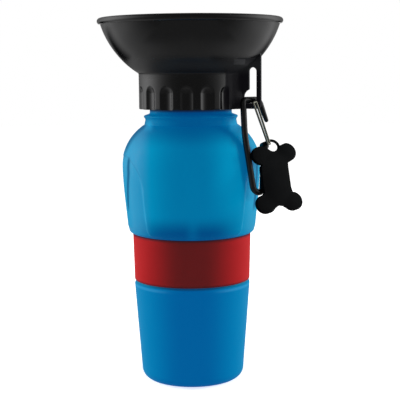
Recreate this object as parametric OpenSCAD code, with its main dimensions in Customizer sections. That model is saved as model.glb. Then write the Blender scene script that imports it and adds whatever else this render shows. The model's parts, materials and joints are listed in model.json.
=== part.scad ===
// Squeeze-and-drink travel bottle for a dog, with a bowl cap, a clip and a bone tag.
// Origin on the axis at the base, +Z up, millimetres. The clip hangs from the lug on the right.

/* [Lower body] */
// Height of the lower body, up to its rounded top edge
lower_h = 59.5; // [59.1:0.1:59.6]
// Radius of the lower body just above the base corner
base_r = 30.48; // [30.2:0.02:30.8]
// Radius of the corner round at the base
base_corner_r = 6.5; // [6:0.1:7]
// Radius of the lower body just under its top edge
waist_r = 34.35; // [34.1:0.05:34.6]
// Radius of the round on the top edge
waist_edge_r = 1.5; // [1.3:0.1:1.6]
// Wall of the blown bottle
wall = 1.2; // [1.1:0.05:1.3]
// Radius of the ring groove pressed in the underside
foot_groove_r = 17; // [16:0.5:18]
// Depth of the ring groove in the underside
foot_groove_d = 0.6; // [0.4:0.1:0.7]

/* [Grip band] */
// Height of the seat moulded for the band
seat_h = 28.5; // [28:0.1:30]
// Depth of the seat below the top edge of the lower body
seat_depth = 1.15; // [1.05:0.05:1.4]
// Gap left under the band
band_low_gap = 0.8; // [0.7:0.05:1]
// Gap left over the band
band_high_gap = 0.3; // [0.2:0.05:0.4]
// Thickness of the band off its seat, at its lower edge
band_low_t = 1.1; // [1:0.05:1.3]
// Thickness of the band off its seat, at its upper edge
band_high_t = 1.75; // [1.5:0.05:2]
// How far the band would shrink inside its seat
band_squeeze = 0.08; // [0.05:0.01:0.12]

/* [Upper body] */
// Radius of the lower corner of the upper body
upper_corner_r = 6; // [5.5:0.1:6.2]
// How far the upper body swells beyond the lower body
upper_swell = 6.65; // [6.4:0.05:7.5]
// Height of the largest radius above the foot of the upper body
upper_peak_h = 39.5; // [38:0.5:42]
// Radius of the slow bow up the sides
side_bow_r = 350; // [330:5:400]
// Radius of the shoulder round
shoulder_r = 29; // [28.5:0.1:30]
// How far the shoulder dips in under its groove
shoulder_dip = 0.57; // [0.5:0.01:0.65]
// Height of the groove above the end of the shoulder
groove_rise = 2.46; // [2.3:0.02:2.6]
// How far the groove stands out from the neck
groove_out = 2.7; // [2.6:0.05:2.8]
// How far the bead stands out from the neck
bead_out = 3.5; // [3.4:0.05:3.6]
// Height of the bead above the groove
bead_rise = 1.8; // [1.7:0.05:2]

/* [Thumb panels] */
// Turn of the bottle about its axis
bottle_turn = 3.25; // [0:0.25:6]
// Half width of a panel
panel_half_w = 28.5; // [27.5:0.25:29]
// Height of the top of a panel above the largest radius
panel_rise = 7; // [6.5:0.1:7.5]
// Corner radius at the top of a panel
panel_corner_r = 18; // [16:0.5:20]
// Depth of a panel at the foot
panel_foot_d = 1.4; // [1.2:0.05:1.5]
// Depth of a panel near its top
panel_top_d = 0.3; // [0.25:0.05:0.4]

/* [Neck and thread] */
// Outer radius of the neck
neck_r = 24.15; // [24:0.05:24.2]
// Height of the neck above the bead
neck_h = 21.8; // [21.5:0.1:23]
// Wall of the neck
neck_wall = 1.6; // [1.5:0.1:1.8]
// Rise of the thread in one turn
thread_pitch = 5; // [4.9:0.05:5.1]
// Height of the thread ridge where it meets the neck
thread_w = 2; // [1.9:0.05:2]
// Turns of each thread ridge
thread_turns = 1.4; // [1.3:0.05:1.5]
// Depth at which the bottle thread starts, under the top of the neck
thread_drop = 14.3; // [14:0.1:14.6]
// How far the thread ridge of the bottle stands off the neck
thread_rise = 1.55; // [1.5:0.05:1.6]

/* [Bowl cap] */
// Wall of the fluted collar
collar_wall = 4.3; // [4:0.05:4.8]
// How far the collar reaches down past the top of the neck
collar_drop = 17.6; // [17.3:0.1:17.8]
// Number of flutes round the collar
flutes = 16; // [14:1:18]
// Radius of each flute
flute_r = 6; // [5.8:0.1:6.2]
// Depth of each flute
flute_d = 1.7; // [1.6:0.05:1.8]
// Height of a flute
flute_h = 12.1; // [11.5:0.1:13]
// Turn of the first flute
flute_turn = -4.4; // [-6:0.2:0]
// Radius of the bowl curve
bowl_curve_r = 52.16; // [50:0.02:54]
// Height of the centre of the bowl curve above the floor of the bowl
bowl_curve_h = 43.06; // [42.5:0.02:43.5]
// How far the floor of the bowl ends inside the collar
bowl_floor_in = 2.01; // [1.9:0.01:2.4]
// Wall of the bowl
bowl_wall = 2; // [1.8:0.1:2.1]
// Radius of the rolled rim
rim_r = 1.9; // [1.8:0.05:2]
// Depth of the bowl, up to the centre of the rim
bowl_depth = 29; // [27:0.5:31]
// How far the rim stands off the wall of the bowl
rim_off = 0.55; // [0.4:0.05:0.7]
// Thickness of the floor of the bowl
bowl_floor_t = 2.4; // [2.3:0.05:2.5]

/* [Drink valve] */
// Outer radius of the nozzle in the bowl
nozzle_r = 6; // [5.9:0.05:6.1]
// Radius of the bore of the nozzle
nozzle_bore_r = 3.4; // [3.2:0.1:3.5]
// Height of the nozzle above the floor
nozzle_h = 12; // [11.9:0.1:12.1]
// Radius of the post that closes the stopper
post_r = 1.9; // [1.8:0.05:2]
// How far the post stands above the nozzle
post_rise = 2.4; // [2.3:0.1:2.5]
// Depth of the foot of the post under the top of the nozzle
post_drop = 8; // [7:0.5:9]
// Height of the ribs that carry the post
rib_h = 4; // [3:0.5:5]
// Thickness of the ribs that carry the post
rib_t = 1.2; // [1.1:0.1:1.4]
// Wall of the stopper
stopper_wall = 1.6; // [1.5:0.1:1.8]
// Radius of the finger flange of the stopper
flange_r = 11; // [10.5:0.25:11.5]
// Thickness of the top of the stopper
stopper_top_t = 2; // [1.8:0.1:2.1]
// How far the stopper pulls up
stopper_travel = 5; // [4.5:0.1:5]
// Play left under the catch at the full pull
catch_play = 1.2; // [1:0.1:1.4]
// Radius of the section of the valve seal
seal_section_r = 0.5; // [0.45:0.01:0.52]

/* [Water path] */
// Thickness of the gasket
gasket_h = 1.6; // [1.4:0.1:2]
// Outer radius of the dip tube
tube_r = 4.5; // [4.4:0.05:4.6]
// Wall of the dip tube
tube_wall = 1; // [0.9:0.05:1.1]
// Height of the foot of the dip tube
tube_foot_z = 4; // [3.5:0.25:5]
// Length of the spigot under the cap
spigot_h = 12.6; // [12:0.2:13]
// Wall of the spigot
spigot_wall = 1.5; // [1.4:0.1:1.7]

/* [Lug] */
// Angle of the lug about the axis
lug_turn = -19; // [-20:0.25:-18]
// Thickness of the lug
lug_t = 3; // [2.9:0.05:3]
// How far the lug reaches past the collar
lug_out = 12.4; // [12.2:0.1:12.8]
// Height of the floor of the slot above the lower edge of the lug
slot_rise = 3.1; // [2.8:0.1:3.4]
// Distance of the inner edge of the upper slot from the collar
slot_in_gap = 5.4; // [5.2:0.1:5.6]
// Distance of the outer edge of the slot from the collar
slot_out_gap = 9.95; // [9.9:0.05:10]
// Height of the slot
slot_h = 20.7; // [20:0.1:21]
// Distance of the wide foot of the slot from the collar
slot_foot_gap = 2.2; // [2.1:0.1:2.3]
// Round on the lower outer corner of the lug
lug_corner_r = 2; // [1.5:0.25:2.4]
// Angle over which the web leaves the collar
web_angle = 25; // [24:0.5:26]

/* [Clip] */
// Radius of the clip rod
rod_r = 1.8; // [1.78:0.01:1.81]
// Radius of the slim end of the nose of the clip
nose_r = 1.25; // [1.2:0.05:1.4]
// Distance of the rod in the slot from the inner edge of its foot
clip_in = 3.9; // [3.85:0.05:3.95]
// Gap between the rod and the floor of the slot
clip_gap = 0.3; // [0.25:0.01:0.32]
// Turn of the clip about the upright
clip_turn = 38; // [37.5:0.1:38.5]
// Distance of the centre of the rod from the widest part of the bottle
clip_off = 3.145; // [3.1:0.005:3.3]

/* [Gate] */
// Radius of the gate wire
wire_r = 0.55; // [0.5:0.01:0.56]
// Where the gate pivot sits in the clip, across and down
pivot_at = [2.6, 27.8];
// Half the distance between the wires at the pivot
wire_half = 0.8; // [0.75:0.05:0.9]
// Gap between the wires and the eyelet
wire_gap = 0.3; // [0.25:0.05:0.4]

/* [Bone tag] */
// Thickness of the tag plate
tag_t = 2.2; // [2:0.1:2.4]
// Thickness of the eyelet
eyelet_t = 1.2; // [1.1:0.05:1.2]
// Gap between the tag and the pivot block
tag_gap = 0.55; // [0.5:0.05:0.6]

/* [Fits] */
// Running clearance of the valve post and the gate pivot
run_fit = 0.06; // [0.04:0.01:0.08]
// Gap between parts that sit close without touching
sit_gap = 0.1; // [0.08:0.01:0.15]
// Clearance round the thread crests
thread_gap = 0.4; // [0.35:0.05:0.45]
// Interference of the dip tube in its spigot
tube_squeeze = 0.03; // [0.02:0.01:0.05]

/* [Hidden] */
$fn = 96;
eps = 0.01;
over = 1;
taper_angle = atan((waist_r - base_r) / (lower_h - base_corner_r));
seat_r = waist_r - seat_depth;
waist_edge_z = lower_h - 1.25 * waist_edge_r;
waist_edge_stop = 65;
band_z = lower_h + band_low_gap;
band_h = seat_h - band_low_gap - band_high_gap;
upper_z = lower_h + seat_h;
upper_r = waist_r + upper_swell;
upper_peak_z = upper_z + upper_peak_h;
upper_foot_r = upper_r - pow(upper_peak_h - upper_corner_r, 2) / (2 * side_bow_r);
shoulder_x = upper_r - shoulder_r;
shoulder_groove_r = neck_r + groove_out;
shoulder_end = acos((shoulder_groove_r - shoulder_dip - shoulder_x) / shoulder_r);
shoulder_groove_z = upper_peak_z + shoulder_r * sin(shoulder_end) + groove_rise;
bead_r = neck_r + bead_out;
bead_z = shoulder_groove_z + bead_rise;
panel_top_z = upper_peak_z + panel_rise;
neck_top_z = bead_z + neck_h;
thread_z = neck_top_z - thread_drop;
crest_r = neck_r + thread_rise;
collar_bore_r = crest_r + thread_gap;
collar_crest_r = neck_r + thread_gap;
collar_r = collar_bore_r + collar_wall;
collar_z = neck_top_z - collar_drop;
flute_top_z = collar_z + flute_h;
neck_bore_r = neck_r - neck_wall;
gasket_z = neck_top_z + sit_gap;
roof_z = gasket_z + gasket_h + sit_gap;
bowl_floor_z = roof_z + bowl_floor_t;
bowl_floor_r = collar_r - bowl_floor_in;
bowl_in_r = bowl_curve_r - bowl_wall;
bowl_curve_x = bowl_floor_r - sqrt(pow(bowl_in_r, 2) - pow(bowl_curve_h, 2));
bowl_curve_z = bowl_floor_z + bowl_curve_h;
rim_z = bowl_floor_z + bowl_depth;
rim_x = bowl_curve_x + sqrt(pow(bowl_curve_r - bowl_wall / 2, 2) - pow(bowl_curve_z - rim_z, 2)) + rim_off;
nozzle_top_z = bowl_floor_z + nozzle_h;
seal_drop = 1.6;
seal_z = nozzle_top_z - seal_drop;
catch_out = 0.5;
catch_r = nozzle_r + catch_out;
catch_h = 1;
stopper_bore_r = catch_r + sit_gap;
stopper_lip_r = nozzle_r + sit_gap;
stopper_gap = 0.6;
stopper_foot_z = bowl_floor_z + stopper_gap;
stopper_lip_h = 1.2;
catch_z = stopper_foot_z + stopper_lip_h + stopper_travel + catch_play;
stopper_top_z = nozzle_top_z + stopper_gap;
stopper_r = stopper_bore_r + stopper_wall;
lug_reach = collar_r + lug_out;
lug_top_z = bowl_curve_z - sqrt(pow(bowl_curve_r - bowl_wall / 2, 2) - pow(lug_reach - bowl_curve_x, 2));
slot_floor_z = collar_z + slot_rise;
slot_top_z = slot_floor_z + slot_h;
slot_in = collar_r + slot_in_gap;
slot_out = collar_r + slot_out_gap;
slot_foot_in = collar_r + slot_foot_gap;
slot_round_r = (slot_out - slot_in) / 2;
clip_reach = slot_foot_in + clip_in;
clip_z = slot_floor_z + rod_r + clip_gap;
clip_near = [-12, 40];
clip_along = clip_reach * cos(clip_turn - lug_turn) + clip_near[0];
clip_across = clip_reach * sin(clip_turn - lug_turn);
clip_lean = asin((sqrt(pow(upper_r + clip_off, 2) - pow(clip_along, 2)) - clip_across) / clip_near[1]);
clip_o = [clip_reach * cos(lug_turn), clip_reach * sin(lug_turn), clip_z];
bow_left = -5.7;
bow_right = 6.2;
clip_path = [[8.6, 12.6], [bow_right, 0], [bow_left, 0], [-10.2, 20.5], [-14.7, 77.5], pivot_at];
clip_bend = [0, 3.5, 2.4, 80, 3.455, 0];
pivot_block_r = 2.3;
pivot_block_h = 3.2;
pivot_neck = 1.3;
joint_rise = 0.04;
tag_back = pivot_block_h / 2 + tag_gap;
wire_front = tag_back + eyelet_t + wire_gap + wire_r;
gate_wires = [[pivot_at - [wire_half, 0], [-2.2, 3]], [pivot_at + [wire_half, 0], [0.1, 2.6]]];
tag_lobes = [[-4.5, 34.3], [15.2, 33.3], [-9.1, 62.3], [11.7, 62.2]];
lobe_w = 6.8;
lobe_h = 5.4;
eye_at = [5.45, 29.25];
eye_w = 4.65;
eye_h = 2.95;
eye_rim = 1.45;

function arc(cx, cy, r, a0, a1, n) =
    [for (i = [0:n]) let (a = a0 + (a1 - a0) * i / n) [cx + r * cos(a), cy + r * sin(a)]];

function ellipse(c, w, h, n) =
    [for (i = [0:n - 1]) let (a = 360 * i / n) [c[0] + w * cos(a), c[1] + h * sin(a)]];

function bow(d, z0, n) =
    [for (i = [1:n - 1])
        let (z = z0 + (upper_peak_z - z0) * i / n)
        [upper_r - d - pow(upper_peak_z - z, 2) / (2 * side_bow_r), z]];

// Lower body, seat and foot of the upper body, set in by d
function low_outline(d) = concat(
    [[0, d]],
    arc(base_r - base_corner_r + 0.02, base_corner_r, base_corner_r - d, -90, -taper_angle, 8),
    arc(waist_r - waist_edge_r, waist_edge_z, waist_edge_r - min(d, 1.2), -taper_angle, waist_edge_stop, 4),
    [[seat_r - d, lower_h - d * 0.6]],
    [[seat_r - d, upper_z + 0.05 + d * 0.6]]);

// Shoulder, groove, bead and neck, set in by d
function high_outline(d, neck_in, top_z) = concat(
    arc(shoulder_x, upper_peak_z, shoulder_r - d, 0, shoulder_end, 14),
    [[shoulder_groove_r - d, shoulder_groove_z - 0.9]],
    [[shoulder_groove_r - d, shoulder_groove_z + 0.3]],
    [[bead_r - d, bead_z - 0.9]],
    [[bead_r - d, bead_z + 0.5]],
    [[bead_r - 0.6 - d, bead_z + 1.1 - d]],
    [[neck_in, bead_z + 1.5 - d]],
    [[neck_in, top_z]],
    [[0, top_z]]);

module full_body(d, neck_in, top_z) {
    rotate_extrude()
        polygon(concat(
            low_outline(d),
            arc(upper_foot_r - upper_corner_r, upper_z + upper_corner_r, upper_corner_r - d, -90, 0, 8),
            bow(d, upper_z + upper_corner_r, 5),
            high_outline(d, neck_in, top_z)));
}

// The thumb panel surface, turned round the axis, set in by d
module panel_body(d) {
    foot_r = upper_foot_r - panel_foot_d;
    rotate_extrude()
        polygon(concat(
            [[0, upper_z - 4]],
            [[foot_r - upper_corner_r, upper_z - 4]],
            arc(foot_r - upper_corner_r, upper_z + upper_corner_r, upper_corner_r - d, -90, 0, 8),
            [[upper_r - panel_top_d - d, upper_peak_z]],
            arc(shoulder_x, upper_peak_z, shoulder_r - panel_top_d - d, 6, 30, 5),
            [[0, panel_top_z + 10]]));
}

// The arched zone in which a panel is sunk, grown by g
module panel_zone(g) {
    half = panel_half_w + g;
    corner = panel_corner_r + g;
    top = panel_top_z + g;
    for (side = [0, 180])
        rotate([0, 0, side])
            rotate([90, 0, 90])
                translate([0, 0, 20])
                    linear_extrude(height = 40)
                        polygon(concat(
                            [[-half, upper_z - 3]],
                            [[half, upper_z - 3]],
                            arc(half - corner, top - corner, corner, 0, 90, 10),
                            arc(corner - half, top - corner, corner, 90, 180, 10)));
}

module dented_body(d, neck_in, top_z) {
    difference() {
        full_body(d, neck_in, top_z);
        rotate([0, 0, bottle_turn])
            difference() {
                panel_zone(d);
                panel_body(d);
            }
    }
}

// A helical ridge from radius r0 to r1; it runs out at both ends
module ridge(r0, r1, z0, turns) {
    steps = floor(turns * 40);
    lead = 6;
    half = thread_w / 2;
    flat = half * 0.45;
    points = [for (i = [0:steps])
        let (a = 360 * turns * i / steps)
        let (z = z0 + thread_pitch * a / 360)
        let (k = min(1, min(i, steps - i) / lead))
        let (tip = r0 + (r1 - r0) * max(k, 0.25))
        for (p = [[r0, z - half], [tip, z - flat], [tip, z + flat], [r0, z + half]])
            [p[0] * cos(a), p[0] * sin(a), p[1]]];
    quads = [for (i = [0:steps - 1]) for (j = [0:3])
        [4 * i + j, 4 * i + (j + 1) % 4, 4 * i + 4 + (j + 1) % 4, 4 * i + 4 + j]];
    sides = [for (q = quads) for (t = [[q[0], q[1], q[2]], [q[0], q[2], q[3]]]) t];
    e = 4 * steps;
    faces = concat([[2, 1, 0], [3, 2, 0]], sides, [[e, e + 1, e + 2], [e, e + 2, e + 3]]);
    turned = [for (f = faces) [f[2], f[1], f[0]]];
    polyhedron(points, r1 > r0 ? faces : turned, convexity = 6);
}

// A thing drawn in the plane of the clip: across, up and out of it
module in_clip() {
    translate(clip_o)
        rotate([90 - clip_lean, 0, clip_turn])
            children();
}

function down(p) = [p[0], -p[1]];
function unit(v) = v / norm(v);
function cut(path, bend, i) =
    let (a = unit(path[i - 1] - path[i]))
    let (b = unit(path[i + 1] - path[i]))
    let (half = acos(a * b) / 2)
    bend[i] / tan(half);

module bar(a, b, r0, r1) {
    v = b - a;
    translate(a)
        rotate([0, 0, atan2(v[1], v[0])])
            rotate([0, 90, 0])
                cylinder(h = norm(v), r1 = r0, r2 = r1);
}

// Straight rods joined by round bends, with a slim round start and a faint collar at each joint
module bent_rod(path, bend, r, start_r) {
    last = len(path) - 1;
    for (i = [0:last - 1]) {
        a = path[i] + (i == 0 ? 0 : cut(path, bend, i)) * unit(path[i + 1] - path[i]);
        b = path[i + 1] + (i == last - 1 ? 0 : cut(path, bend, i + 1)) * unit(path[i] - path[i + 1]);
        a_r = i == 0 ? start_r : r;
        bar(a, b, a_r, r);
        translate([a[0], a[1], 0])
            sphere(r = a_r + joint_rise, $fn = 48);
        if (i < last - 1)
            translate([b[0], b[1], 0])
                sphere(r = r + joint_rise, $fn = 48);
    }
    for (i = [1:last - 1]) {
        a = unit(path[i - 1] - path[i]);
        b = unit(path[i + 1] - path[i]);
        half = acos(a * b) / 2;
        c = path[i] + unit(a + b) * bend[i] / sin(half);
        mid = atan2(-(a + b)[1], -(a + b)[0]);
        span = 180 - 2 * half;
        translate([c[0], c[1], 0])
            rotate([0, 0, mid - span / 2])
                rotate_extrude(angle = span)
                    translate([bend[i], 0])
                        circle(r = r, $fn = 32);
    }
}

module bottle() {
    color([0.1, 0.5, 0.75, 0.7])
        union() {
            difference() {
                dented_body(0, neck_r, neck_top_z);
                dented_body(wall, neck_bore_r, neck_top_z + over);
                rotate_extrude()
                    translate([foot_groove_r, 0])
                        square([4, 2 * foot_groove_d], center = true);
            }
            ridge(neck_r - 0.2, crest_r, thread_z, thread_turns);
        }
}

module grip_band() {
    edge = 0.4;
    inner = seat_r - band_squeeze;
    band_low_r = seat_r + band_low_t;
    band_high_r = seat_r + band_high_t;
    color([0.7, 0.13, 0.16])
        rotate_extrude()
            polygon([
                [inner, band_z],
                [band_low_r - edge, band_z],
                [band_low_r, band_z + edge],
                [band_high_r, band_z + band_h - edge],
                [band_high_r - edge, band_z + band_h],
                [inner, band_z + band_h]]);
}

module bowl_solid() {
    low_z = bowl_curve_z - sqrt(pow(bowl_curve_r, 2) - pow(collar_r - bowl_curve_x, 2));
    start = atan2(low_z - bowl_curve_z, collar_r - bowl_curve_x);
    stop = atan2(rim_z - bowl_curve_z, sqrt(pow(bowl_curve_r, 2) - pow(bowl_curve_z - rim_z, 2)));
    rotate_extrude()
        polygon(concat(
            [[0, collar_z]],
            [[collar_r - 0.5, collar_z]],
            [[collar_r, collar_z + 0.5]],
            arc(bowl_curve_x, bowl_curve_z, bowl_curve_r, start, stop, 16),
            [[0, rim_z]]));
}

module bowl_hollow() {
    start = atan2(-bowl_curve_h, bowl_floor_r - bowl_curve_x);
    stop_h = rim_z + over - bowl_curve_z;
    stop = atan2(stop_h, sqrt(pow(bowl_in_r, 2) - pow(stop_h, 2)));
    rotate_extrude()
        polygon(concat(
            [[0, bowl_floor_z]],
            arc(bowl_curve_x, bowl_curve_z, bowl_in_r, start, stop, 16),
            [[0, rim_z + over]]));
}

module flute_cuts() {
    for (i = [0:flutes - 1])
        rotate([0, 0, -90 + flute_turn + 360 / flutes * i])
            translate([collar_r - flute_d + flute_r, 0, 0]) {
                translate([0, 0, collar_z - over])
                    cylinder(h = flute_top_z - flute_r / 2 - collar_z + over, r = flute_r, $fn = 48);
                translate([0, 0, flute_top_z - flute_r / 2])
                    sphere(r = flute_r, $fn = 48);
            }
}

module lug_plate() {
    lug_corner_x = lug_reach - lug_corner_r;
    lug_corner_z = collar_z + lug_corner_r;
    slot_x = slot_out - slot_round_r;
    slot_z = slot_top_z - slot_round_r;
    rotate([0, 0, lug_turn])
        rotate([90, 0, 0])
            translate([0, 0, -lug_t / 2])
                linear_extrude(height = lug_t)
                    difference() {
                        union() {
                            polygon(concat(
                                [[collar_r - 3, collar_z]],
                                arc(lug_corner_x, lug_corner_z, lug_corner_r, -90, 0, 6),
                                [[lug_reach, lug_top_z]],
                                [[collar_r - 3, lug_top_z - 8]]));
                        }
                        polygon(concat(
                            [[slot_foot_in, slot_floor_z]],
                            [[slot_out, slot_floor_z]],
                            arc(slot_x, slot_z, slot_round_r, 0, 180, 10),
                            [[slot_in, slot_floor_z + 8.4]],
                            [[slot_in - 1.2, slot_floor_z + 6.9]],
                            [[slot_foot_in, slot_floor_z + 3.2]]));
                    }
}

module lug_web() {
    rotate([0, 0, lug_turn])
        translate([0, 0, collar_z])
            linear_extrude(height = lug_top_z - collar_z - 4.2)
                polygon([
                    [collar_r - 6, -9],
                    [collar_r * cos(web_angle), -collar_r * sin(web_angle)],
                    [slot_foot_in - 0.3, -lug_t / 2],
                    [slot_foot_in - 0.3, lug_t / 2],
                    [collar_r * cos(web_angle), collar_r * sin(web_angle)],
                    [collar_r - 6, 9]]);
}

module nozzle() {
    difference() {
        union() {
            translate([0, 0, bowl_floor_z - eps])
                cylinder(h = nozzle_h + eps, r = nozzle_r);
            translate([0, 0, catch_z])
                cylinder(h = catch_h, r1 = catch_r, r2 = catch_r - 0.2);
        }
        translate([0, 0, seal_z])
            rotate_extrude()
                translate([nozzle_r, 0])
                    square([0.9, 1.2], center = true);
    }
}

module post() {
    foot_z = nozzle_top_z - post_drop;
    translate([0, 0, foot_z])
        cylinder(h = post_drop + post_rise, r = post_r);
    intersection() {
        translate([0, 0, foot_z])
            cylinder(h = rib_h, r = nozzle_bore_r + 0.3);
        for (i = [0:2])
            rotate([0, 0, 120 * i])
                translate([0, -rib_t / 2, foot_z])
                    cube([nozzle_r, rib_t, rib_h]);
    }
}

module bowl_cap() {
    spigot_z = roof_z - spigot_h;
    color([0.09, 0.09, 0.1])
        union() {
            difference() {
                union() {
                    bowl_solid();
                    difference() {
                        union() {
                            lug_plate();
                            lug_web();
                        }
                        translate([0, 0, collar_z - over])
                            cylinder(h = 8, r = collar_bore_r + 1);
                    }
                    translate([0, 0, rim_z])
                        rotate_extrude()
                            translate([rim_x, 0])
                                circle(r = rim_r, $fn = 32);
                }
                bowl_hollow();
                difference() {
                    flute_cuts();
                    rotate([0, 0, lug_turn])
                        translate([collar_r - 4, -12, collar_z - 2])
                            cube([20, 24, 40]);
                }
                translate([0, 0, collar_z - over])
                    cylinder(h = roof_z - collar_z + over, r = collar_bore_r);
                translate([0, 0, roof_z - over])
                    cylinder(h = bowl_floor_t + 2 * over, r = nozzle_bore_r);
            }
            difference() {
                nozzle();
                translate([0, 0, bowl_floor_z - over])
                    cylinder(h = nozzle_h + 2 * over, r = nozzle_bore_r);
            }
            post();
            difference() {
                translate([0, 0, spigot_z])
                    cylinder(h = spigot_h + 0.2, r = tube_r + spigot_wall);
                translate([0, 0, spigot_z - over])
                    cylinder(h = spigot_h + over, r = tube_r);
                cylinder(h = bowl_floor_z, r = nozzle_bore_r);
            }
            ridge(collar_bore_r + 0.2, collar_crest_r, thread_z - thread_pitch / 2, thread_turns);
        }
}

module cap_gasket() {
    color([0.85, 0.85, 0.86])
        difference() {
            translate([0, 0, gasket_z])
                cylinder(h = gasket_h, r = collar_bore_r - sit_gap);
            translate([0, 0, gasket_z - over])
                cylinder(h = gasket_h + 2 * over, r = neck_bore_r - 1);
        }
}

module dip_tube() {
    top_z = roof_z - 0.6;
    color([0.9, 0.93, 0.95, 0.6])
        difference() {
            translate([0, 0, tube_foot_z])
                cylinder(h = top_z - tube_foot_z, r = tube_r + tube_squeeze);
            translate([0, 0, tube_foot_z - over])
                cylinder(h = top_z - tube_foot_z + 2 * over, r = tube_r - tube_wall);
            translate([-tube_r - over, 0, tube_foot_z - tube_r - over])
                rotate([45, 0, 0])
                    translate([0, -20, -20])
                        cube([2 * tube_r + 2 * over, 40, 20]);
        }
}

module stopper() {
    top_z = stopper_top_z + stopper_top_t;
    edge = 0.6;
    color([0.09, 0.09, 0.1])
        rotate_extrude()
            polygon([
                [stopper_lip_r, stopper_foot_z],
                [stopper_r, stopper_foot_z],
                [stopper_r, top_z - 5.2],
                [flange_r, top_z - 2.8],
                [flange_r, top_z - edge],
                [flange_r - edge, top_z],
                [post_r + run_fit, top_z],
                [post_r + run_fit, stopper_top_z],
                [stopper_bore_r, stopper_top_z],
                [stopper_bore_r, stopper_foot_z + stopper_lip_h],
                [stopper_lip_r, stopper_foot_z + stopper_lip_h]]);
}

module stopper_seal() {
    color([0.75, 0.13, 0.16])
        translate([0, 0, seal_z])
            rotate_extrude()
                translate([stopper_bore_r - run_fit - seal_section_r, 0])
                    circle(r = seal_section_r, $fn = 32);
}

module carabiner_body() {
    path = [for (p = clip_path) down(p)];
    last = len(path) - 1;
    pivot = path[last];
    stub = pivot + unit(path[last - 1] - pivot) * pivot_neck;
    color([0.07, 0.07, 0.08])
        in_clip() {
            bent_rod([for (i = [0:last]) i == last ? stub : path[i]], clip_bend, rod_r, nose_r);
            difference() {
                translate([pivot[0], pivot[1], -pivot_block_h / 2])
                    cylinder(h = pivot_block_h, r = pivot_block_r);
                translate([pivot[0], pivot[1], -pivot_block_h])
                    cylinder(h = 2 * pivot_block_h, r = wire_r + run_fit);
            }
        }
}

module carabiner_gate() {
    pivot = down(pivot_at);
    head_r = 1;
    head_t = 0.5;
    back = -pivot_block_h / 2 - sit_gap - head_t;
    color([0.62, 0.62, 0.56])
        in_clip() {
            translate([pivot[0], pivot[1], back])
                cylinder(h = wire_front - back, r = wire_r);
            translate([pivot[0], pivot[1], back])
                cylinder(h = head_t, r = head_r);
            translate([0, 0, wire_front]) {
                for (end = [0, 1]) {
                    bar(down(gate_wires[0][end]), down(gate_wires[1][end]), wire_r, wire_r);
                    bar(down(gate_wires[end][0]), down(gate_wires[end][1]), wire_r, wire_r);
                    for (wire = gate_wires)
                        translate([wire[end][0], -wire[end][1], 0])
                            sphere(r = wire_r + joint_rise, $fn = 32);
                }
            }
        }
}

module tag_outline() {
    a = down(tag_lobes[0]);
    b = down(tag_lobes[1]);
    c = down(tag_lobes[2]);
    d = down(tag_lobes[3]);
    for (p = tag_lobes)
        polygon(ellipse(down(p), lobe_w, lobe_h, 40));
    polygon([
        a + [0, lobe_h],
        a + [-1.2, -3.8],
        a + [-0.9, -8.2],
        a + [-2.1, -14],
        c + [1.4, 8.6],
        c + [0, -2],
        c + [6, -3.2],
        c + [9, -1.9],
        (c + d) / 2 + [0.4, -1.5],
        d + [-9, -1.6],
        d + [-6, -3],
        d + [0, -2],
        d + [0.8, 5.4],
        b + [-0.7, -6.2],
        b + [-0.7, -4],
        b + [0, lobe_h]]);
}

module bone_tag() {
    color([0.07, 0.075, 0.08])
        in_clip()
            translate([0, 0, tag_back])
                difference() {
                    union() {
                        difference() {
                            linear_extrude(height = tag_t)
                                tag_outline();
                            translate([0, 0, eyelet_t])
                                linear_extrude(height = tag_t)
                                    polygon(ellipse(down(eye_at), eye_w + eye_rim, eye_h + eye_rim, 40));
                        }
                        linear_extrude(height = eyelet_t)
                            polygon(ellipse(down(eye_at), eye_w + eye_rim, eye_h + eye_rim, 40));
                    }
                    translate([0, 0, -over])
                        linear_extrude(height = tag_t + 2 * over)
                            polygon(ellipse(down(eye_at), eye_w, eye_h, 40));
                }
}

bottle();
grip_band();
bowl_cap();
cap_gasket();
dip_tube();
stopper();
stopper_seal();
carabiner_body();
carabiner_gate();
bone_tag();
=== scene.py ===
"""A squeeze bottle with a drinking bowl on top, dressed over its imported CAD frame.

The bottle stands on its base at the origin, +Z up, in metres. Sizes in the classes are in millimetres.
"""

from __future__ import annotations

import json
import logging
import math
from dataclasses import dataclass
from enum import Enum
from typing import Iterable, NamedTuple, Sequence, Union

import bmesh
import bpy
from mathutils import Matrix, Vector

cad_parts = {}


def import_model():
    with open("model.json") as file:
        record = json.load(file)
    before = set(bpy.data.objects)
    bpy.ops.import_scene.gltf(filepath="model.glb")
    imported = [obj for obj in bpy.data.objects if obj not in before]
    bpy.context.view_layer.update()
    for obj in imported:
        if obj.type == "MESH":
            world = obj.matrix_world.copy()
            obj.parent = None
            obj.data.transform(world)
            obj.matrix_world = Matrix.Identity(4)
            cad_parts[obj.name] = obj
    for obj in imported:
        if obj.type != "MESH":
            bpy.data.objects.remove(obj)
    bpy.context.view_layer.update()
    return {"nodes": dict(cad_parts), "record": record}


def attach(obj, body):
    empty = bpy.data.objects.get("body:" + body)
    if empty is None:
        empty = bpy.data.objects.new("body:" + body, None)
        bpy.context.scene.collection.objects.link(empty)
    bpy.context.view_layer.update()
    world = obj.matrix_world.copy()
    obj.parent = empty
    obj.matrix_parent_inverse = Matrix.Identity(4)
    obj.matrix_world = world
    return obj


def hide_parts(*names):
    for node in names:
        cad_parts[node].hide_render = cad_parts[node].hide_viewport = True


log = logging.getLogger("bottle")
MM = 0.001
DOUBLES = 1e-7  # points closer than this, in metres, are merged
ROD_ROUNDNESS = 6  # bevel resolution of the swept rods
LUG_TURN = -19.0  # bearing of the lug about the axis, in degrees
BMesh = bmesh.types.BMesh
Number = Union[int, float]
Pair = tuple[float, float]
Triple = tuple[float, float, float]
Zone = tuple[Pair, Pair]


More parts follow.
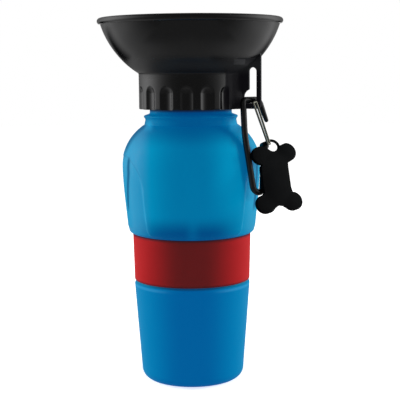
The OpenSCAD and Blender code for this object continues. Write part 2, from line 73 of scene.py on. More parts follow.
class Body(Enum):
    """The CAD bodies that pieces ride on."""

    BOTTLE = "bottle"
    CAP = "cap"
    VALVE = "valve"
    CLIP = "clip"
    GATE = "gate"
    TAG = "tag"


class Slot(Enum):
    """The record's material slots."""

    BOTTLE = "bottle_plastic"
    BAND = "band_rubber"
    CAP = "cap_plastic"
    GASKET = "gasket_rubber"
    TUBE = "tube_plastic"
    CLIP = "clip_paint"
    GATE = "gate_steel"
    TAG = "tag_plastic"


# ---------------------------------------------------------------- shading


class Flow:
    """A socket in a node tree on which arithmetic adds Math nodes."""

    def __init__(self, weave: Weave, socket: bpy.types.NodeSocket) -> None:
        """Wraps a socket.

        Args:
            weave: The material being woven.
            socket: The output that the value comes from.
        """
        self.weave = weave
        self.socket = socket

    def _math(self, operation: str, *others: Operand) -> Flow:
        """Adds one Math node.

        Args:
            operation: The node's operation.
            *others: The values after this one.

        Returns:
            The result.
        """
        return self.weave.node("ShaderNodeMath", {"operation": operation}, dict(enumerate((self, *others))))

    def __add__(self, other: Operand) -> Flow:
        """Sum."""
        return self._math("ADD", other)

    __radd__ = __add__

    def __sub__(self, other: Operand) -> Flow:
        """Difference."""
        return self._math("SUBTRACT", other)

    def __rsub__(self, other: Number) -> Flow:
        """A number less this value."""
        return self.weave.node("ShaderNodeMath", {"operation": "SUBTRACT"}, {0: other, 1: self})

    def __mul__(self, other: Operand) -> Flow:
        """Product."""
        return self._math("MULTIPLY", other)

    __rmul__ = __mul__

    def __truediv__(self, other: Operand) -> Flow:
        """Quotient."""
        return self._math("DIVIDE", other)

    def __pow__(self, other: Operand) -> Flow:
        """Power."""
        return self._math("POWER", other)

    def __abs__(self) -> Flow:
        """Size without sign."""
        return self._math("ABSOLUTE")

    def least(self, other: Operand) -> Flow:
        """The smaller of two values."""
        return self._math("MINIMUM", other)

    def most(self, other: Operand) -> Flow:
        """The larger of two values."""
        return self._math("MAXIMUM", other)

    def ramp(self, low: Number, high: Number, start: Number = 0.0, stop: Number = 1.0) -> Flow:
        """Runs smoothly from start to stop while the value runs from low to high.

        Args:
            low: The value at which the change begins.
            high: The value at which it ends.
            start: The result below low.
            stop: The result above high.

        Returns:
            The eased value.
        """
        return self.weave.node(
            "ShaderNodeMapRange",
            {"interpolation_type": "SMOOTHSTEP", "clamp": True},
            {"Value": self, "From Min": low, "From Max": high, "To Min": start, "To Max": stop},
        )

    def hump(self, centre: Number, reach: Number) -> Flow:
        """A smooth bump of height 1 at a centre, gone at a reach from it."""
        return abs(self - centre).ramp(0.0, reach, 1.0, 0.0)

    def within(self, zone: Zone) -> Flow:
        """1 inside a zone, which comes over its first span and goes over its second."""
        return self.ramp(*zone[0]) * self.ramp(*zone[1])


Operand = Union[Flow, int, float]


class Place(NamedTuple):
    """A point of the object, in millimetres: across it, from front to back and up."""

    x: Flow
    y: Flow
    z: Flow


class Weave:
    """One material and its node tree."""

    def __init__(self, name: str) -> None:
        """Starts an empty material.

        Args:
            name: The material's name.
        """
        self.material = bpy.data.materials.new(name)
        self.material.use_nodes = True
        self.tree = self.material.node_tree
        self.tree.nodes.clear()

    @classmethod
    def over(cls, tree: bpy.types.NodeTree) -> Weave:
        """Weaves in a tree that exists, such as the world's.

        Args:
            tree: The node tree, which is emptied.

        Returns:
            The weave.
        """
        weave = cls.__new__(cls)
        weave.material = None
        weave.tree = tree
        tree.nodes.clear()
        return weave

    def node(
        self,
        kind: str,
        settings: dict[str, object] | None = None,
        values: dict[Union[str, int], object] | None = None,
        output: Union[str, int] = 0,
    ) -> Flow:
        """Adds a node.

        Args:
            kind: The node's type.
            settings: Properties, set first.
            values: A value or a Flow for each input, by name or number.
            output: The output that is returned.

        Returns:
            The chosen output.
        """
        made = self.tree.nodes.new(kind)
        for key, value in (settings or {}).items():
            setattr(made, key, value)
        for key, value in (values or {}).items():
            socket = made.inputs[key]
            if isinstance(value, Flow):
                self.tree.links.new(value.socket, socket)
            elif isinstance(value, tuple) and len(value) == 3 and socket.type == "RGBA":
                socket.default_value = (*value, 1.0)
            else:
                socket.default_value = value
        return Flow(self, made.outputs[output])

    def parts(self, coordinate: str) -> tuple[Flow, Flow, Flow]:
        """The three parts of a texture coordinate.

        Args:
            coordinate: The coordinate's name.

        Returns:
            Its x, y and z.
        """
        point = self.node("ShaderNodeTexCoord", output=coordinate)
        split = self.node("ShaderNodeSeparateXYZ", values={0: point}).socket.node
        return tuple(Flow(self, split.outputs[i]) for i in range(3))

    def place(self) -> Place:
        """The point of the object that is being shaded."""
        return Place(*(part * (1.0 / MM) for part in self.parts("Object")))

    def rays(self) -> tuple[Flow, Flow]:
        """Whether a ray is the camera's, and whether it is a reflection's."""
        path = self.node("ShaderNodeLightPath").socket.node
        return Flow(self, path.outputs["Is Camera Ray"]), Flow(self, path.outputs["Is Glossy Ray"])

    def blend(self, amount: Operand, one: object, other: object) -> Flow:
        """A colour between two colours."""
        return self.node("ShaderNodeMix", {"data_type": "RGBA"}, {0: amount, 6: one, 7: other}, output=2)

    def noise(self, scale: float, detail: float = 3.0, stretch: Triple = (1, 1, 1)) -> Flow:
        """Noise on the object's own coordinates.

        Args:
            scale: Waves to the metre.
            detail: Octaves.
            stretch: Scale along each axis.

        Returns:
            A value about 0.5.
        """
        point = self.node("ShaderNodeTexCoord", output="Object")
        turned = self.node("ShaderNodeMapping", values={"Vector": point, "Scale": stretch})
        return self.node("ShaderNodeTexNoise", values={"Vector": turned, "Scale": scale, "Detail": detail})

    def bump(self, height: Flow, strength: float, distance: float) -> Flow:
        """A normal from a height.

        Args:
            height: The height, in the bump's own units.
            strength: How much of it shows.
            distance: Metres to one unit of height.

        Returns:
            The bent normal.
        """
        values = {"Height": height, "Strength": strength, "Distance": distance}
        return self.node("ShaderNodeBump", values=values)

    def surface(self, **sockets: object) -> Flow:
        """Adds a Principled surface.

        Args:
            **sockets: The surface's inputs, with _ for a space.

        Returns:
            The surface.
        """
        values = {key.replace("_", " "): value for key, value in sockets.items()}
        return self.node("ShaderNodeBsdfPrincipled", values=values)

    def finish(self, **sockets: object) -> bpy.types.Material:
        """Ends the material with one Principled surface.

        Args:
            **sockets: The surface's inputs, with _ for a space.

        Returns:
            The material.
        """
        self.node_out(self.surface(**sockets))
        return self.material

    def node_out(self, surface: Flow) -> None:
        """Links a surface to the material's output."""
        out = self.tree.nodes.new("ShaderNodeOutputMaterial")
        self.tree.links.new(surface.socket, out.inputs["Surface"])


@dataclass(frozen=True)
class BowlCurve:
    """The arc of the bowl's outer face, shared by its shape and its finish."""

    x: float = 2.66
    z: float = 226.06
    r: float = 52.16

    def height(self, out: float, inset: float) -> float:
        """Height of the face set in by inset, at a distance out from the axis."""
        return self.z - math.sqrt((self.r - inset) ** 2 - (out - self.x) ** 2)

    def angle_at(self, height: float, inset: float) -> float:
        """Angle on the arc, in degrees, of the face set in by inset, at a height."""
        up = height - self.z
        return math.degrees(math.atan2(up, math.sqrt((self.r - inset) ** 2 - up**2)))

    def angle_out(self, out: float, inset: float) -> float:
        """Angle on the arc, in degrees, of the face set in by inset, at a distance out from the axis."""
        return math.degrees(math.atan2(self.height(out, inset) - self.z, out - self.x))


@dataclass(frozen=True)
class ThumbPanel:
    """The arched zone of a thumb panel, shared by the bottle's shape and its finish."""

    turn: float = 3.25
    half: float = 28.5
    top: float = 134.5
    corner: float = 18.0

    def inside(self, t: float, z: float) -> float:
        """How far a point lies inside the zone.

        Args:
            t: Distance across the panel from its middle.
            z: Height.

        Returns:
            The distance from the zone's edge, negative outside.
        """
        dx, dz = abs(t) - (self.half - self.corner), z - (self.top - self.corner)
        if dx > 0 and dz > 0:
            return self.corner - math.hypot(dx, dz)
        return self.corner - max(dx, dz)

    def woven(self, p: Place) -> tuple[Flow, Flow]:
        """The same distance on the surface being shaded.

        Args:
            p: The point being shaded.

        Returns:
            The distance inside the zone, and the distance across the panel.
        """
        a = math.radians(self.turn)
        t = abs(p.y * math.cos(a) - p.x * math.sin(a))
        dx = (t - (self.half - self.corner)).most(0.0)
        dz = (p.z - (self.top - self.corner)).most(0.0)
        return self.corner - (dx * dx + dz * dz) ** 0.5, t


@dataclass(frozen=True)
class BluePlastic:
    """Milky squeeze plastic of the bottle, with a painted glow for the light that scatters inside it.

    A span is where a change begins and where it is complete. A zone is the span over which something comes
    and the span over which it goes. A bump in one direction is a middle and a reach. They are in millimetres.
    A share is how much of a colour shows at most. A noise is its waves to the metre and its octaves, and the
    bump of a surface is its strength and its depth in metres.
    """

    upper: Triple = (0.0006, 0.27, 0.36)
    lower: Triple = (0.0004, 0.175, 0.24)
    # Painted shade on the shoulder under the collar and on the foot just above the band.
    dark: Triple = (0.0004, 0.13, 0.19)
    # Painted side light on the sides of the upper body.
    pale: Triple = (0.02, 0.205, 0.3)
    # Painted shade in the lines of the panels' ribs and in the left shoulder's dark outline.
    line: Triple = (0.0004, 0.1, 0.15)
    # Painted glow for light scattering inside; dimmer glows carry painted shade, brighter ones painted light.
    upper_glow: Triple = (0.0, 0.122, 0.302)
    lower_glow: Triple = (0.0, 0.078, 0.285)
    painted_shade_glow: Triple = (0.0, 0.042, 0.185)
    shoulder_glow: Triple = (0.0, 0.066, 0.225)
    # Painted light on the right of the front, lifting the shadow that the clip casts.
    clip_shadow_lift: Triple = (0.0, 0.186, 0.387)
    # Painted shade along the arched edges of the thumb panels.
    arch_shade_glow: Triple = (0.0, 0.05, 0.19)
    line_shade_glow: Triple = (0.0, 0.025, 0.13)
    shade_glow: Triple = (0.0, 0.09, 0.25)
    # Painted highlights: streaks on the shoulder, and a line on the top edge of the lower body.
    neck_highlight: Triple = (0.008, 0.17, 0.38)
    ledge_highlight: Triple = (0.02, 0.14, 0.37)
    # Painted shadow on the neck under the collar and on the bottle under the band.
    contact_shadow: Triple = (0.006, 0.006, 0.012)
    roughness: float = 0.4
    roughness_swing: float = 0.06
    specular: float = 0.02
    coat: float = 0.04
    flank_coat: float = 0.3
    coat_roughness: float = 0.2
    grain: Pair = (900.0, 2.0)
    swirl: Pair = (55.0, 2.0)
    swirl_stretch: Triple = (1.0, 1.0, 0.35)
    swirl_gain: float = 3.0
    bump: Pair = (0.12, 4e-5)
    panel: ThumbPanel = ThumbPanel()
    front_y: Pair = (0.0, -8.0)
    lower_z: Pair = (96.0, 82.0)
    shoulder_z: Pair = (139.0, 152.0)
    above_shoulder_z: Pair = (160.0, 157.0)
    painted_shade_share: float = 0.95
    cloud: Pair = (26.0, 4.0)
    cloud_share: float = 0.1
    # Where the painted side light lies.
    flank_left: Pair = (-22.0, -28.5)
    flank_right: Pair = (26.0, 34.0)
    flank_z: Zone = ((84.0, 94.0), (157.0, 146.0))
    flank_shares: Pair = (0.75, 0.4)
    foot_bump: Pair = (92.0, 11.0)
    foot_middle: float = -2.5
    foot_fade: Pair = (14.0, 34.0)
    foot_fade_share: float = 0.8
    # A painted highlight: less painted shade in a strip down the middle of the foot.
    strip_bump: Pair = (0.6, 5.5)
    strip_share: float = 0.35
    # Where the painted light on the right lies.
    right_x: Pair = (6.0, 26.0)
    right_z: Zone = ((98.0, 110.0), (154.0, 124.0))
    # Where the painted highlights lie: the shoulder's streaks, then the lower body's top edge.
    neck_streak: float = 24.8
    neck_streak_fade: Pair = (4.0, 1.0)
    neck_bump: Pair = (152.0, 4.5)
    ledge_bump: Pair = (57.6, 1.3)
    ledge_x: Pair = (10.0, 24.0)
    # Where the painted shade of the arched edges lies.
    arch_bump: Pair = (0.0, 0.9)
    arch_z: Pair = (100.0, 116.0)
    arch_x: Pair = (20.0, 36.0)
    arch_share: float = 0.75
    # Where the painted shadows under the collar and under the band lie.
    under_collar_z: Zone = ((159.3, 160.9), (163.6, 162.0))
    under_collar_share: float = 0.85
    under_band_z: Zone = ((58.6, 59.4), (61.5, 60.0))
    under_band_share: float = 0.6
    # Where the painted shade of the rib lines and of the shoulder's outline lies.
    rib_place: float = 16.2
    rib_bump: Pair = (0.0, 3.2)
    rib_z: Zone = ((101.0, 106.0), (135.5, 132.0))
    bend_z: float = 125.0
    bend_x: Pair = (5.0, -5.0)
    bend_slope: float = 0.28
    outline_y: float = -2.6
    outline_fade: Pair = (13.5, 6.5)
    outline_x: Pair = (-24.0, -28.0)
    outline_z: Zone = ((130.0, 140.0), (160.0, 156.0))
    outline_share: float = 0.9
    clip_slope: float = 0.17
    clip_edge: Pair = (48.4, 50.4)
    clip_z: Zone = ((104.0, 111.0), (155.0, 150.0))
    edge_x: Pair = (27.0, 31.0)
    edge_z: Pair = (84.0, 96.0)
    edge_share: float = 0.55
    dip_x: Pair = (23.8, 3.4)
    dip_z: Pair = (143.5, 5.0)

    def side_light(self, p: Place) -> Flow:
        """Painted side light: how pale the sides of the upper body are, paler on the left.

        Args:
            p: The point being shaded.

        Returns:
            The share of the painted side-light colour.
        """
        left = p.x.ramp(*self.flank_left) * self.flank_shares[0]
        right = p.x.ramp(*self.flank_right) * self.flank_shares[1]
        return left.most(right) * p.z.within(self.flank_z)

    def shoulder_and_foot_shade(self, w: Weave, p: Place, shoulder: Flow) -> Flow:
        """Painted shade on the shoulder and the foot of the upper body, with a cloudy edge.

        Args:
            w: The material being woven.
            p: The point being shaded.
            shoulder: How much of the shoulder is there.

        Returns:
            The share of the painted shade colour.
        """
        fade = 1 - abs(p.x - self.foot_middle).ramp(*self.foot_fade) * self.foot_fade_share
        strip = 1 - p.x.hump(*self.strip_bump) * self.strip_share
        foot = p.z.hump(*self.foot_bump) * fade * strip
        cloud = (w.noise(*self.cloud) - 0.5) * self.cloud_share
        return (foot.most(shoulder) * self.painted_shade_share + cloud).most(0.0).least(1.0)

    def lines(self, p: Place, across: Flow) -> Flow:
        """Painted shade in the upright lines of the panels' ribs, and a painted dark outline on the left
        shoulder.

        Args:
            p: The point being shaded.
            across: Its distance across a panel.

        Returns:
            How much of the painted line shade is there.
        """
        bend = (self.bend_z - p.z).most(0.0) * p.x.ramp(*self.bend_x) * self.bend_slope
        rib = (across - self.rib_place + bend).hump(*self.rib_bump) * p.z.within(self.rib_z)
        outline = abs(p.y - self.outline_y).ramp(*self.outline_fade) * p.x.ramp(*self.outline_x)
        return rib.most(outline * p.z.within(self.outline_z) * self.outline_share)

    def shade(self, p: Place) -> Flow:
        """The shade beside the clip, along the right edge and in the dip of the right shoulder.

        Args:
            p: The point being shaded.

        Returns:
            How deep the shade is.
        """
        clip = (p.x + p.z * self.clip_slope).ramp(*self.clip_edge) * p.z.within(self.clip_z)
        edge = p.x.ramp(*self.edge_x) * p.z.ramp(*self.edge_z) * self.edge_share
        return clip.most(edge).most(p.x.hump(*self.dip_x) * p.z.hump(*self.dip_z))

    def weave(self) -> bpy.types.Material:
        """Makes the material.

        Returns:
            The material.
        """
        w = Weave("blue_squeeze_plastic")
        p = w.place()
        inside, across = self.panel.woven(p)
        front, lower, shoulder = p.y.ramp(*self.front_y), p.z.ramp(*self.lower_z), p.z.ramp(*self.shoulder_z)
        side_light, line, dark = self.side_light(p), self.lines(p, across), self.shoulder_and_foot_shade(w, p, shoulder)
        # Painted light on the right of the front.
        right = p.x.ramp(*self.right_x) * front * p.z.within(self.right_z)
        # Painted highlight streaks on the shoulder, and a painted highlight on the lower body's top edge.
        streak = abs(abs(p.x) - self.neck_streak).ramp(*self.neck_streak_fade)
        neck = streak * p.z.hump(*self.neck_bump) * front
        ledge = p.z.hump(*self.ledge_bump) * abs(p.x).ramp(*self.ledge_x)
        # Painted shade along the arched edges of the panels.
        beside = p.z.ramp(*self.arch_z) * abs(p.x).ramp(*self.arch_x)
        arch = inside.hump(*self.arch_bump) * beside * self.arch_share
        # Painted shadows under the collar and under the band.
        collar_shadow = p.z.within(self.under_collar_z) * self.under_collar_share
        band_shadow = p.z.within(self.under_band_z) * self.under_band_share
        # Painted shade darkens the shoulder and the foot.
        base = w.blend(dark, w.blend(lower, self.upper, self.lower), self.dark)
        # Painted side light on the sides, then painted shade in the rib lines and the shoulder's outline.
        base = w.blend(line, w.blend(side_light, base, self.pale), self.line)
        base = w.blend(collar_shadow, base, self.contact_shadow)
        # Dimmer glows under the painted shade, less dim on the shoulder.
        deep = w.blend(shoulder * p.z.ramp(*self.above_shoulder_z), self.painted_shade_glow, self.shoulder_glow)
        glow = w.blend(lower, w.blend(right, self.upper_glow, self.clip_shadow_lift), self.lower_glow)
        glow = w.blend(dark, glow, deep)
        glow = w.blend(self.shade(p) * front, glow, self.shade_glow)
        glow = w.blend(ledge, w.blend(neck, glow, self.neck_highlight), self.ledge_highlight)
        # Painted shade of the arched edges and of the rib lines, in the glow.
        glow = w.blend(line, w.blend(arch, glow, self.arch_shade_glow), self.line_shade_glow)
        glow = w.blend(collar_shadow.most(band_shadow), glow, self.contact_shadow)
        grain = w.noise(*self.grain)
        swirl = w.noise(*self.swirl, self.swirl_stretch)
        return w.finish(
            Base_Color=base,
            Roughness=self.roughness + (swirl - 0.5) * self.roughness_swing,
            Specular_IOR_Level=self.specular,
            Coat_Weight=self.coat + side_light * (1 - line) * self.flank_coat,
            Coat_Roughness=self.coat_roughness,
            Emission_Color=glow,
            Emission_Strength=1.0,
            Normal=w.bump(grain + swirl * self.swirl_gain, *self.bump),
        )


@dataclass(frozen=True)
class RedRubber:
    """Satin silicone of the grip band, with painted shade at its two edges and a faint painted glow."""

    colour: Triple = (0.53, 0.008, 0.012)
    worn: Triple = (0.49, 0.008, 0.011)
    # Painted shade at the band's top and foot edges, where it meets the bottle.
    edge: Triple = (0.1, 0.008, 0.02)
    # A faint painted glow that lifts the band.
    glow: Triple = (0.012, 0.0085, 0.0085)
    roughness: float = 0.5
    roughness_swing: float = 0.1
    specular: float = 0.06
    mottle: Pair = (60.0, 4.0)
    grain: Pair = (2600.0, 2.0)
    bump: Pair = (0.2, 3e-5)
    top_z: Pair = (86.0, 87.6)
    foot_z: Pair = (62.0, 60.5)
    edge_share: float = 0.75

    def weave(self) -> bpy.types.Material:
        """Makes the material.

        Returns:
            The material.
        """
        w = Weave("red_silicone")
        mottle = w.noise(*self.mottle)
        grain = w.noise(*self.grain)
        z = w.place().z
        # Painted shade at the top and foot edges.
        edge = z.ramp(*self.top_z).most(z.ramp(*self.foot_z)) * self.edge_share
        return w.finish(
            Base_Color=w.blend(edge, w.blend(mottle, self.colour, self.worn), self.edge),
            Roughness=self.roughness + (mottle - 0.5) * self.roughness_swing,
            Specular_IOR_Level=self.specular,
            Emission_Color=self.glow,
            Emission_Strength=1.0,
            Normal=w.bump(grain, *self.bump),
        )


@dataclass(frozen=True)
class BlackPlastic:
    """Glossy black moulded plastic of bowl and valve, flat with painted glow round the lug and in part under
    the bowl.

    Its spans, bumps, shares and noises are given as those of the bottle are. Turns are cosines of the bearing
    from the lug.
    """

    colour: Triple = (0.0045, 0.0045, 0.005)
    haze_gain: float = 1.6
    flat: Triple = (0.0085, 0.0085, 0.0095)
    # Painted highlight on the bowl beside the lug.
    lug_highlight: Triple = (0.045, 0.045, 0.047)
    # Faint painted glows that lift the flat zone round the lug and under the bowl.
    lug_glow: Triple = (0.0025, 0.0023, 0.0032)
    below_glow: Triple = (0.0085, 0.0092, 0.0098)
    roughness: float = 0.12
    roughness_swing: float = 0.06
    flat_roughness: float = 0.5
    flat_specular: float = 0.04
    ior: float = 1.5
    haze: Pair = (40.0, 3.0)
    ripple: Pair = (120.0, 2.0)
    ripple_stretch: Triple = (1.0, 1.0, 0.4)
    bump: Pair = (0.1, 1e-4)
    dull: float = 0.3
    dull_bump: Pair = (184.5, 9.0)
    curve: BowlCurve = BowlCurve()
    under_bowl: Pair = (0.14, 0.64)
    past_collar: Pair = (30.5, 31.0)
    lug_z: Pair = (200.0, 196.0)
    crisp_turn: Pair = (0.845, 0.875)
    crisp_z: Pair = (190.6, 190.0)
    soft_turn: Pair = (0.74, 0.98)
    soft_z: Pair = (202.0, 182.0)
    away_y: Pair = (-24.0, -12.0)
    foot_z: Pair = (160.0, 165.0)
    foot_share: float = 0.6
    # Where the painted highlight lies.
    spot_place: Pair = (27.6, 188.0)
    spot_x: Pair = (3.6, 3.0)
    spot_z: Pair = (1.7, 1.3)
    spot_y: Pair = (0.0, -5.0)
    # Where the painted glow and the flat finish under the bowl lie.
    below_bump: Pair = (186.5, 7.0)
    below_x: Pair = (-27.0, -16.0)
    below_share: float = 0.85

    def round_lug(self, p: Place) -> Flow:
        """The flat zone of the lug itself and of the collar and bowl beside it.

        Args:
            p: The point being shaded.

        Returns:
            How much of the flat finish shows.
        """
        radius = (p.x * p.x + p.y * p.y) ** 0.5
        hub, lift = radius - self.curve.x, p.z - self.curve.z
        past_bowl = (hub * hub + lift * lift) ** 0.5 - self.curve.r
        lug = past_bowl.ramp(*self.under_bowl) * radius.ramp(*self.past_collar) * p.z.ramp(*self.lug_z)
        turn = math.radians(LUG_TURN)
        toward = (p.x * math.cos(turn) + p.y * math.sin(turn)) / radius.most(1.0)
        crisp = toward.ramp(*self.crisp_turn) * p.z.ramp(*self.crisp_z)
        soft = toward.ramp(*self.soft_turn) * p.z.ramp(*self.soft_z)
        away = p.y.ramp(*self.away_y)
        beside = crisp * (1 - away) + soft * away
        return lug.most(beside * p.z.ramp(*self.foot_z, self.foot_share, 1.0))

    def weave(self) -> bpy.types.Material:
        """Makes the material.

        Returns:
            The material.
        """
        w = Weave("gloss_black_plastic")
        p = w.place()
        haze = w.noise(*self.haze)
        normal = w.bump(w.noise(*self.ripple, self.ripple_stretch), *self.bump)
        dull = p.z.hump(*self.dull_bump) * self.dull
        gloss = w.surface(
            Base_Color=w.blend(haze, self.colour, tuple(c * self.haze_gain for c in self.colour)),
            Roughness=dull + self.roughness + (haze - 0.5) * self.roughness_swing,
            IOR=self.ior,
            Normal=normal,
        )
        # Painted highlight patch on the bowl beside the lug.
        across, up = abs(p.x - self.spot_place[0]), abs(p.z - self.spot_place[1])
        lug_highlight = across.ramp(*self.spot_x) * up.ramp(*self.spot_z) * p.y.ramp(*self.spot_y)
        # Painted glow under the bowl, with the flat finish there.
        below = p.z.hump(*self.below_bump) * p.x.ramp(*self.below_x)
        flat = w.surface(
            Base_Color=w.blend(lug_highlight, self.flat, self.lug_highlight),
            Roughness=self.flat_roughness,
            Specular_IOR_Level=self.flat_specular,
            Emission_Color=w.blend(below, self.lug_glow, self.below_glow),
            Emission_Strength=1.0,
            Normal=normal,
        )
        amount = self.round_lug(p).most(below * self.below_share)
        w.node_out(w.node("ShaderNodeMixShader", values={0: amount, 1: gloss, 2: flat}))
        return w.material


@dataclass(frozen=True)
class PlainFinish:
    """A finish with a fine grain, for the small pieces."""

    name: str
    colour: Triple
    roughness: float
    metallic: float = 0.0
    grain: float = 900.0
    depth: float = 3e-5
    gloss: float = 0.5
    mottle_size: float = 12.0
    mottle_shade: float = 0.75
    roughness_swing: float = 0.12
    bump: float = 0.25

    def weave(self) -> bpy.types.Material:
        """Makes the material.

        Returns:
            The material.
        """
        w = Weave(self.name)
        mottle = w.noise(self.grain / self.mottle_size, detail=3.0)
        fine = w.noise(self.grain, detail=2.0)
        return w.finish(
            Base_Color=w.blend(mottle, self.colour, tuple(c * self.mottle_shade for c in self.colour)),
            Roughness=self.roughness + (mottle - 0.5) * self.roughness_swing,
            Metallic=self.metallic,
            Specular_IOR_Level=self.gloss,
            Normal=w.bump(fine, self.bump, self.depth),
        )


class Palette:
    """The finishes, one for each material slot."""

    def __init__(self) -> None:
        """Weaves every finish once."""
        finishes = {
            Slot.BOTTLE: BluePlastic(),
            Slot.BAND: RedRubber(),
            Slot.CAP: BlackPlastic(),
            Slot.GASKET: PlainFinish("pale_gasket", (0.6, 0.6, 0.61), 0.55),
            Slot.TUBE: PlainFinish("frosted_tube", (0.7, 0.78, 0.82), 0.3),
            Slot.CLIP: PlainFinish("black_clip_paint", (0.008, 0.008, 0.009), 0.3, grain=700.0, depth=2e-5),
            Slot.GATE: PlainFinish("spring_wire", (0.3, 0.3, 0.25), 0.22, 1.0, grain=500.0, depth=2e-5),
            Slot.TAG: PlainFinish("flat_black_tag", (0.0026, 0.0032, 0.0038), 0.6, grain=1500.0, gloss=0.05),
        }
        self.by_slot = {slot: finish.weave() for slot, finish in finishes.items()}

    def dress(self, obj: bpy.types.Object, slot: Slot) -> None:
        """Gives an object one finish in every material slot.

        Args:
            obj: The object.
            slot: The record's slot.
        """
        material = self.by_slot[slot]
        if not obj.data.materials:
            obj.data.materials.append(material)
        for holder in obj.material_slots:
            holder.material = material


# ---------------------------------------------------------------- mesh help


def arc(cx: float, cz: float, r: float, start: float, stop: float, steps: int) -> list[Pair]:
    """Points on an arc, angles in degrees.

    Args:
        cx: Centre across.
        cz: Centre up.
        r: Radius.
        start: First angle.
        stop: Last angle.
        steps: Number of segments.

    Returns:
        The points, both ends included.
    """
    turns = [math.radians(start + (stop - start) * i / steps) for i in range(steps + 1)]
    return [(cx + r * math.cos(a), cz + r * math.sin(a)) for a in turns]


def ease(value: float, low: float, high: float) -> float:
    """Smooth step from 0 at low to 1 at high."""
    k = min(1.0, max(0.0, (value - low) / (high - low)))
    return k * k * (3.0 - 2.0 * k)


def fill_in(points: Sequence[Pair], longest: float) -> list[Pair]:
    """Splits the long spans of an outline.

    Args:
        points: The outline.
        longest: The longest span that stays whole.

    Returns:
        The outline with points added.
    """
    out = [points[0]]
    for one, other in zip(points, points[1:]):
        parts = max(1, math.ceil(math.dist(one, other) / longest))
        out += [tuple(a + (b - a) * i / parts for a, b in zip(one, other)) for i in range(1, parts + 1)]
    return out


def spun(outline: Sequence[Pair], steps: int, closed: bool) -> BMesh:
    """Spins an outline of radius and height about the axis.

    Args:
        outline: The points, in millimetres.
        steps: Steps in a full turn.
        closed: Whether the last point joins the first.

    Returns:
        The spun mesh, in metres.
    """
    bm = bmesh.new()
    verts = [bm.verts.new((r * MM, 0.0, z * MM)) for r, z in outline]
    pairs = list(zip(verts, verts[1:])) + ([(verts[-1], verts[0])] if closed else [])
    for one, other in pairs:
        bm.edges.new((one, other))
    geom = bm.verts[:] + bm.edges[:]
    bmesh.ops.spin(bm, geom=geom, cent=(0, 0, 0), axis=(0, 0, 1), angle=math.tau, steps=steps, use_merge=True)
    bmesh.ops.remove_doubles(bm, verts=bm.verts[:], dist=DOUBLES)
    bmesh.ops.recalc_face_normals(bm, faces=bm.faces[:])
    return bm


def plate(outline: Sequence[Pair], holes: Sequence[Sequence[Pair]], low: float, high: float) -> BMesh:
    """A flat plate with holes, between two heights, drawn in x and y.

    Args:
        outline: The outer edge, in millimetres.
        holes: The edges of its holes.
        low: Height of the back.
        high: Height of the front.

    Returns:
        The plate, in metres.
    """
    bm = bmesh.new()
    for loop in (outline, *holes):
        verts = [bm.verts.new((x * MM, y * MM, low * MM)) for x, y in loop]
        for one, other in zip(verts, verts[1:] + verts[:1]):
            bm.edges.new((one, other))
    bmesh.ops.triangle_fill(bm, use_beauty=True, use_dissolve=False, edges=bm.edges[:])
    made = bmesh.ops.extrude_face_region(bm, geom=bm.faces[:])
    lifted = [v for v in made["geom"] if isinstance(v, bmesh.types.BMVert)]
    bmesh.ops.translate(bm, verts=lifted, vec=(0, 0, (high - low) * MM))
    bmesh.ops.recalc_face_normals(bm, faces=bm.faces[:])
    return bm


def turned(bm: BMesh, degrees: float, axis: str) -> BMesh:
    """Turns a mesh about an axis through the origin.

    Args:
        bm: The mesh.
        degrees: How far it turns.
        axis: The name of the axis.

    Returns:
        The same mesh.
    """
    matrix = Matrix.Rotation(math.radians(degrees), 3, axis)
    bmesh.ops.rotate(bm, verts=bm.verts[:], cent=(0, 0, 0), matrix=matrix)
    return bm


def ball(radius: float, place: Vector, around: int, rings: int) -> BMesh:
    """A ball.

    Args:
        radius: Its radius, in millimetres.
        place: Its middle, in millimetres.
        around: Segments round it.
        rings: Segments from pole to pole.

    Returns:
        The ball, in metres.
    """
    bm = bmesh.new()
    bmesh.ops.create_uvsphere(bm, u_segments=around, v_segments=rings, radius=radius * MM)
    bmesh.ops.translate(bm, verts=bm.verts[:], vec=place * MM)
    return bm


def round_rims(bm: BMesh, width: float, segments: int, least: float = 50.0) -> None:
    """Bevels the sharp edges of a mesh.

    Args:
        bm: The mesh.
        width: Bevel width, in millimetres.
        segments: Bevel segments.
        least: Edges sharper than this many degrees are cut.
    """
    rims = [e for e in bm.edges if len(e.link_faces) == 2 and math.degrees(e.calc_face_angle(0.0)) > least]
    bmesh.ops.bevel(
        bm,
        geom=rims,
        offset=width * MM,
        offset_type="OFFSET",
        segments=segments,
        profile=0.5,
        affect="EDGES",
        material=-1,
        clamp_overlap=True,
    )


def rod(path: Sequence[Vector], radius: float, name: str, tip: float = 1.0) -> BMesh:
    """A round rod swept along points, with flat ends.

    Args:
        path: The points, in millimetres.
        radius: The rod's radius, in millimetres.
        name: A name for the work curve.
        tip: The radius at the first point, as a share of the rod's.

    Returns:
        The rod, in metres.
    """
    curve = bpy.data.curves.new(name, "CURVE")
    curve.dimensions = "3D"
    curve.bevel_depth = radius * MM
    curve.bevel_resolution = ROD_ROUNDNESS
    curve.use_fill_caps = True
    line = curve.splines.new("POLY")
    line.points.add(len(path) - 1)
    for point, place in zip(line.points, path):
        point.co = (*(place * MM), 1.0)
    line.points[0].radius = tip
    holder = bpy.data.objects.new(name, curve)
    bpy.context.scene.collection.objects.link(holder)
    swept = holder.evaluated_get(bpy.context.evaluated_depsgraph_get())
    bm = bmesh.new()
    bm.from_mesh(bpy.data.meshes.new_from_object(swept))
    bpy.data.objects.remove(holder)
    bpy.data.curves.remove(curve)
    bmesh.ops.remove_doubles(bm, verts=bm.verts[:], dist=DOUBLES)
    bmesh.ops.recalc_face_normals(bm, faces=bm.faces[:])
    return bm


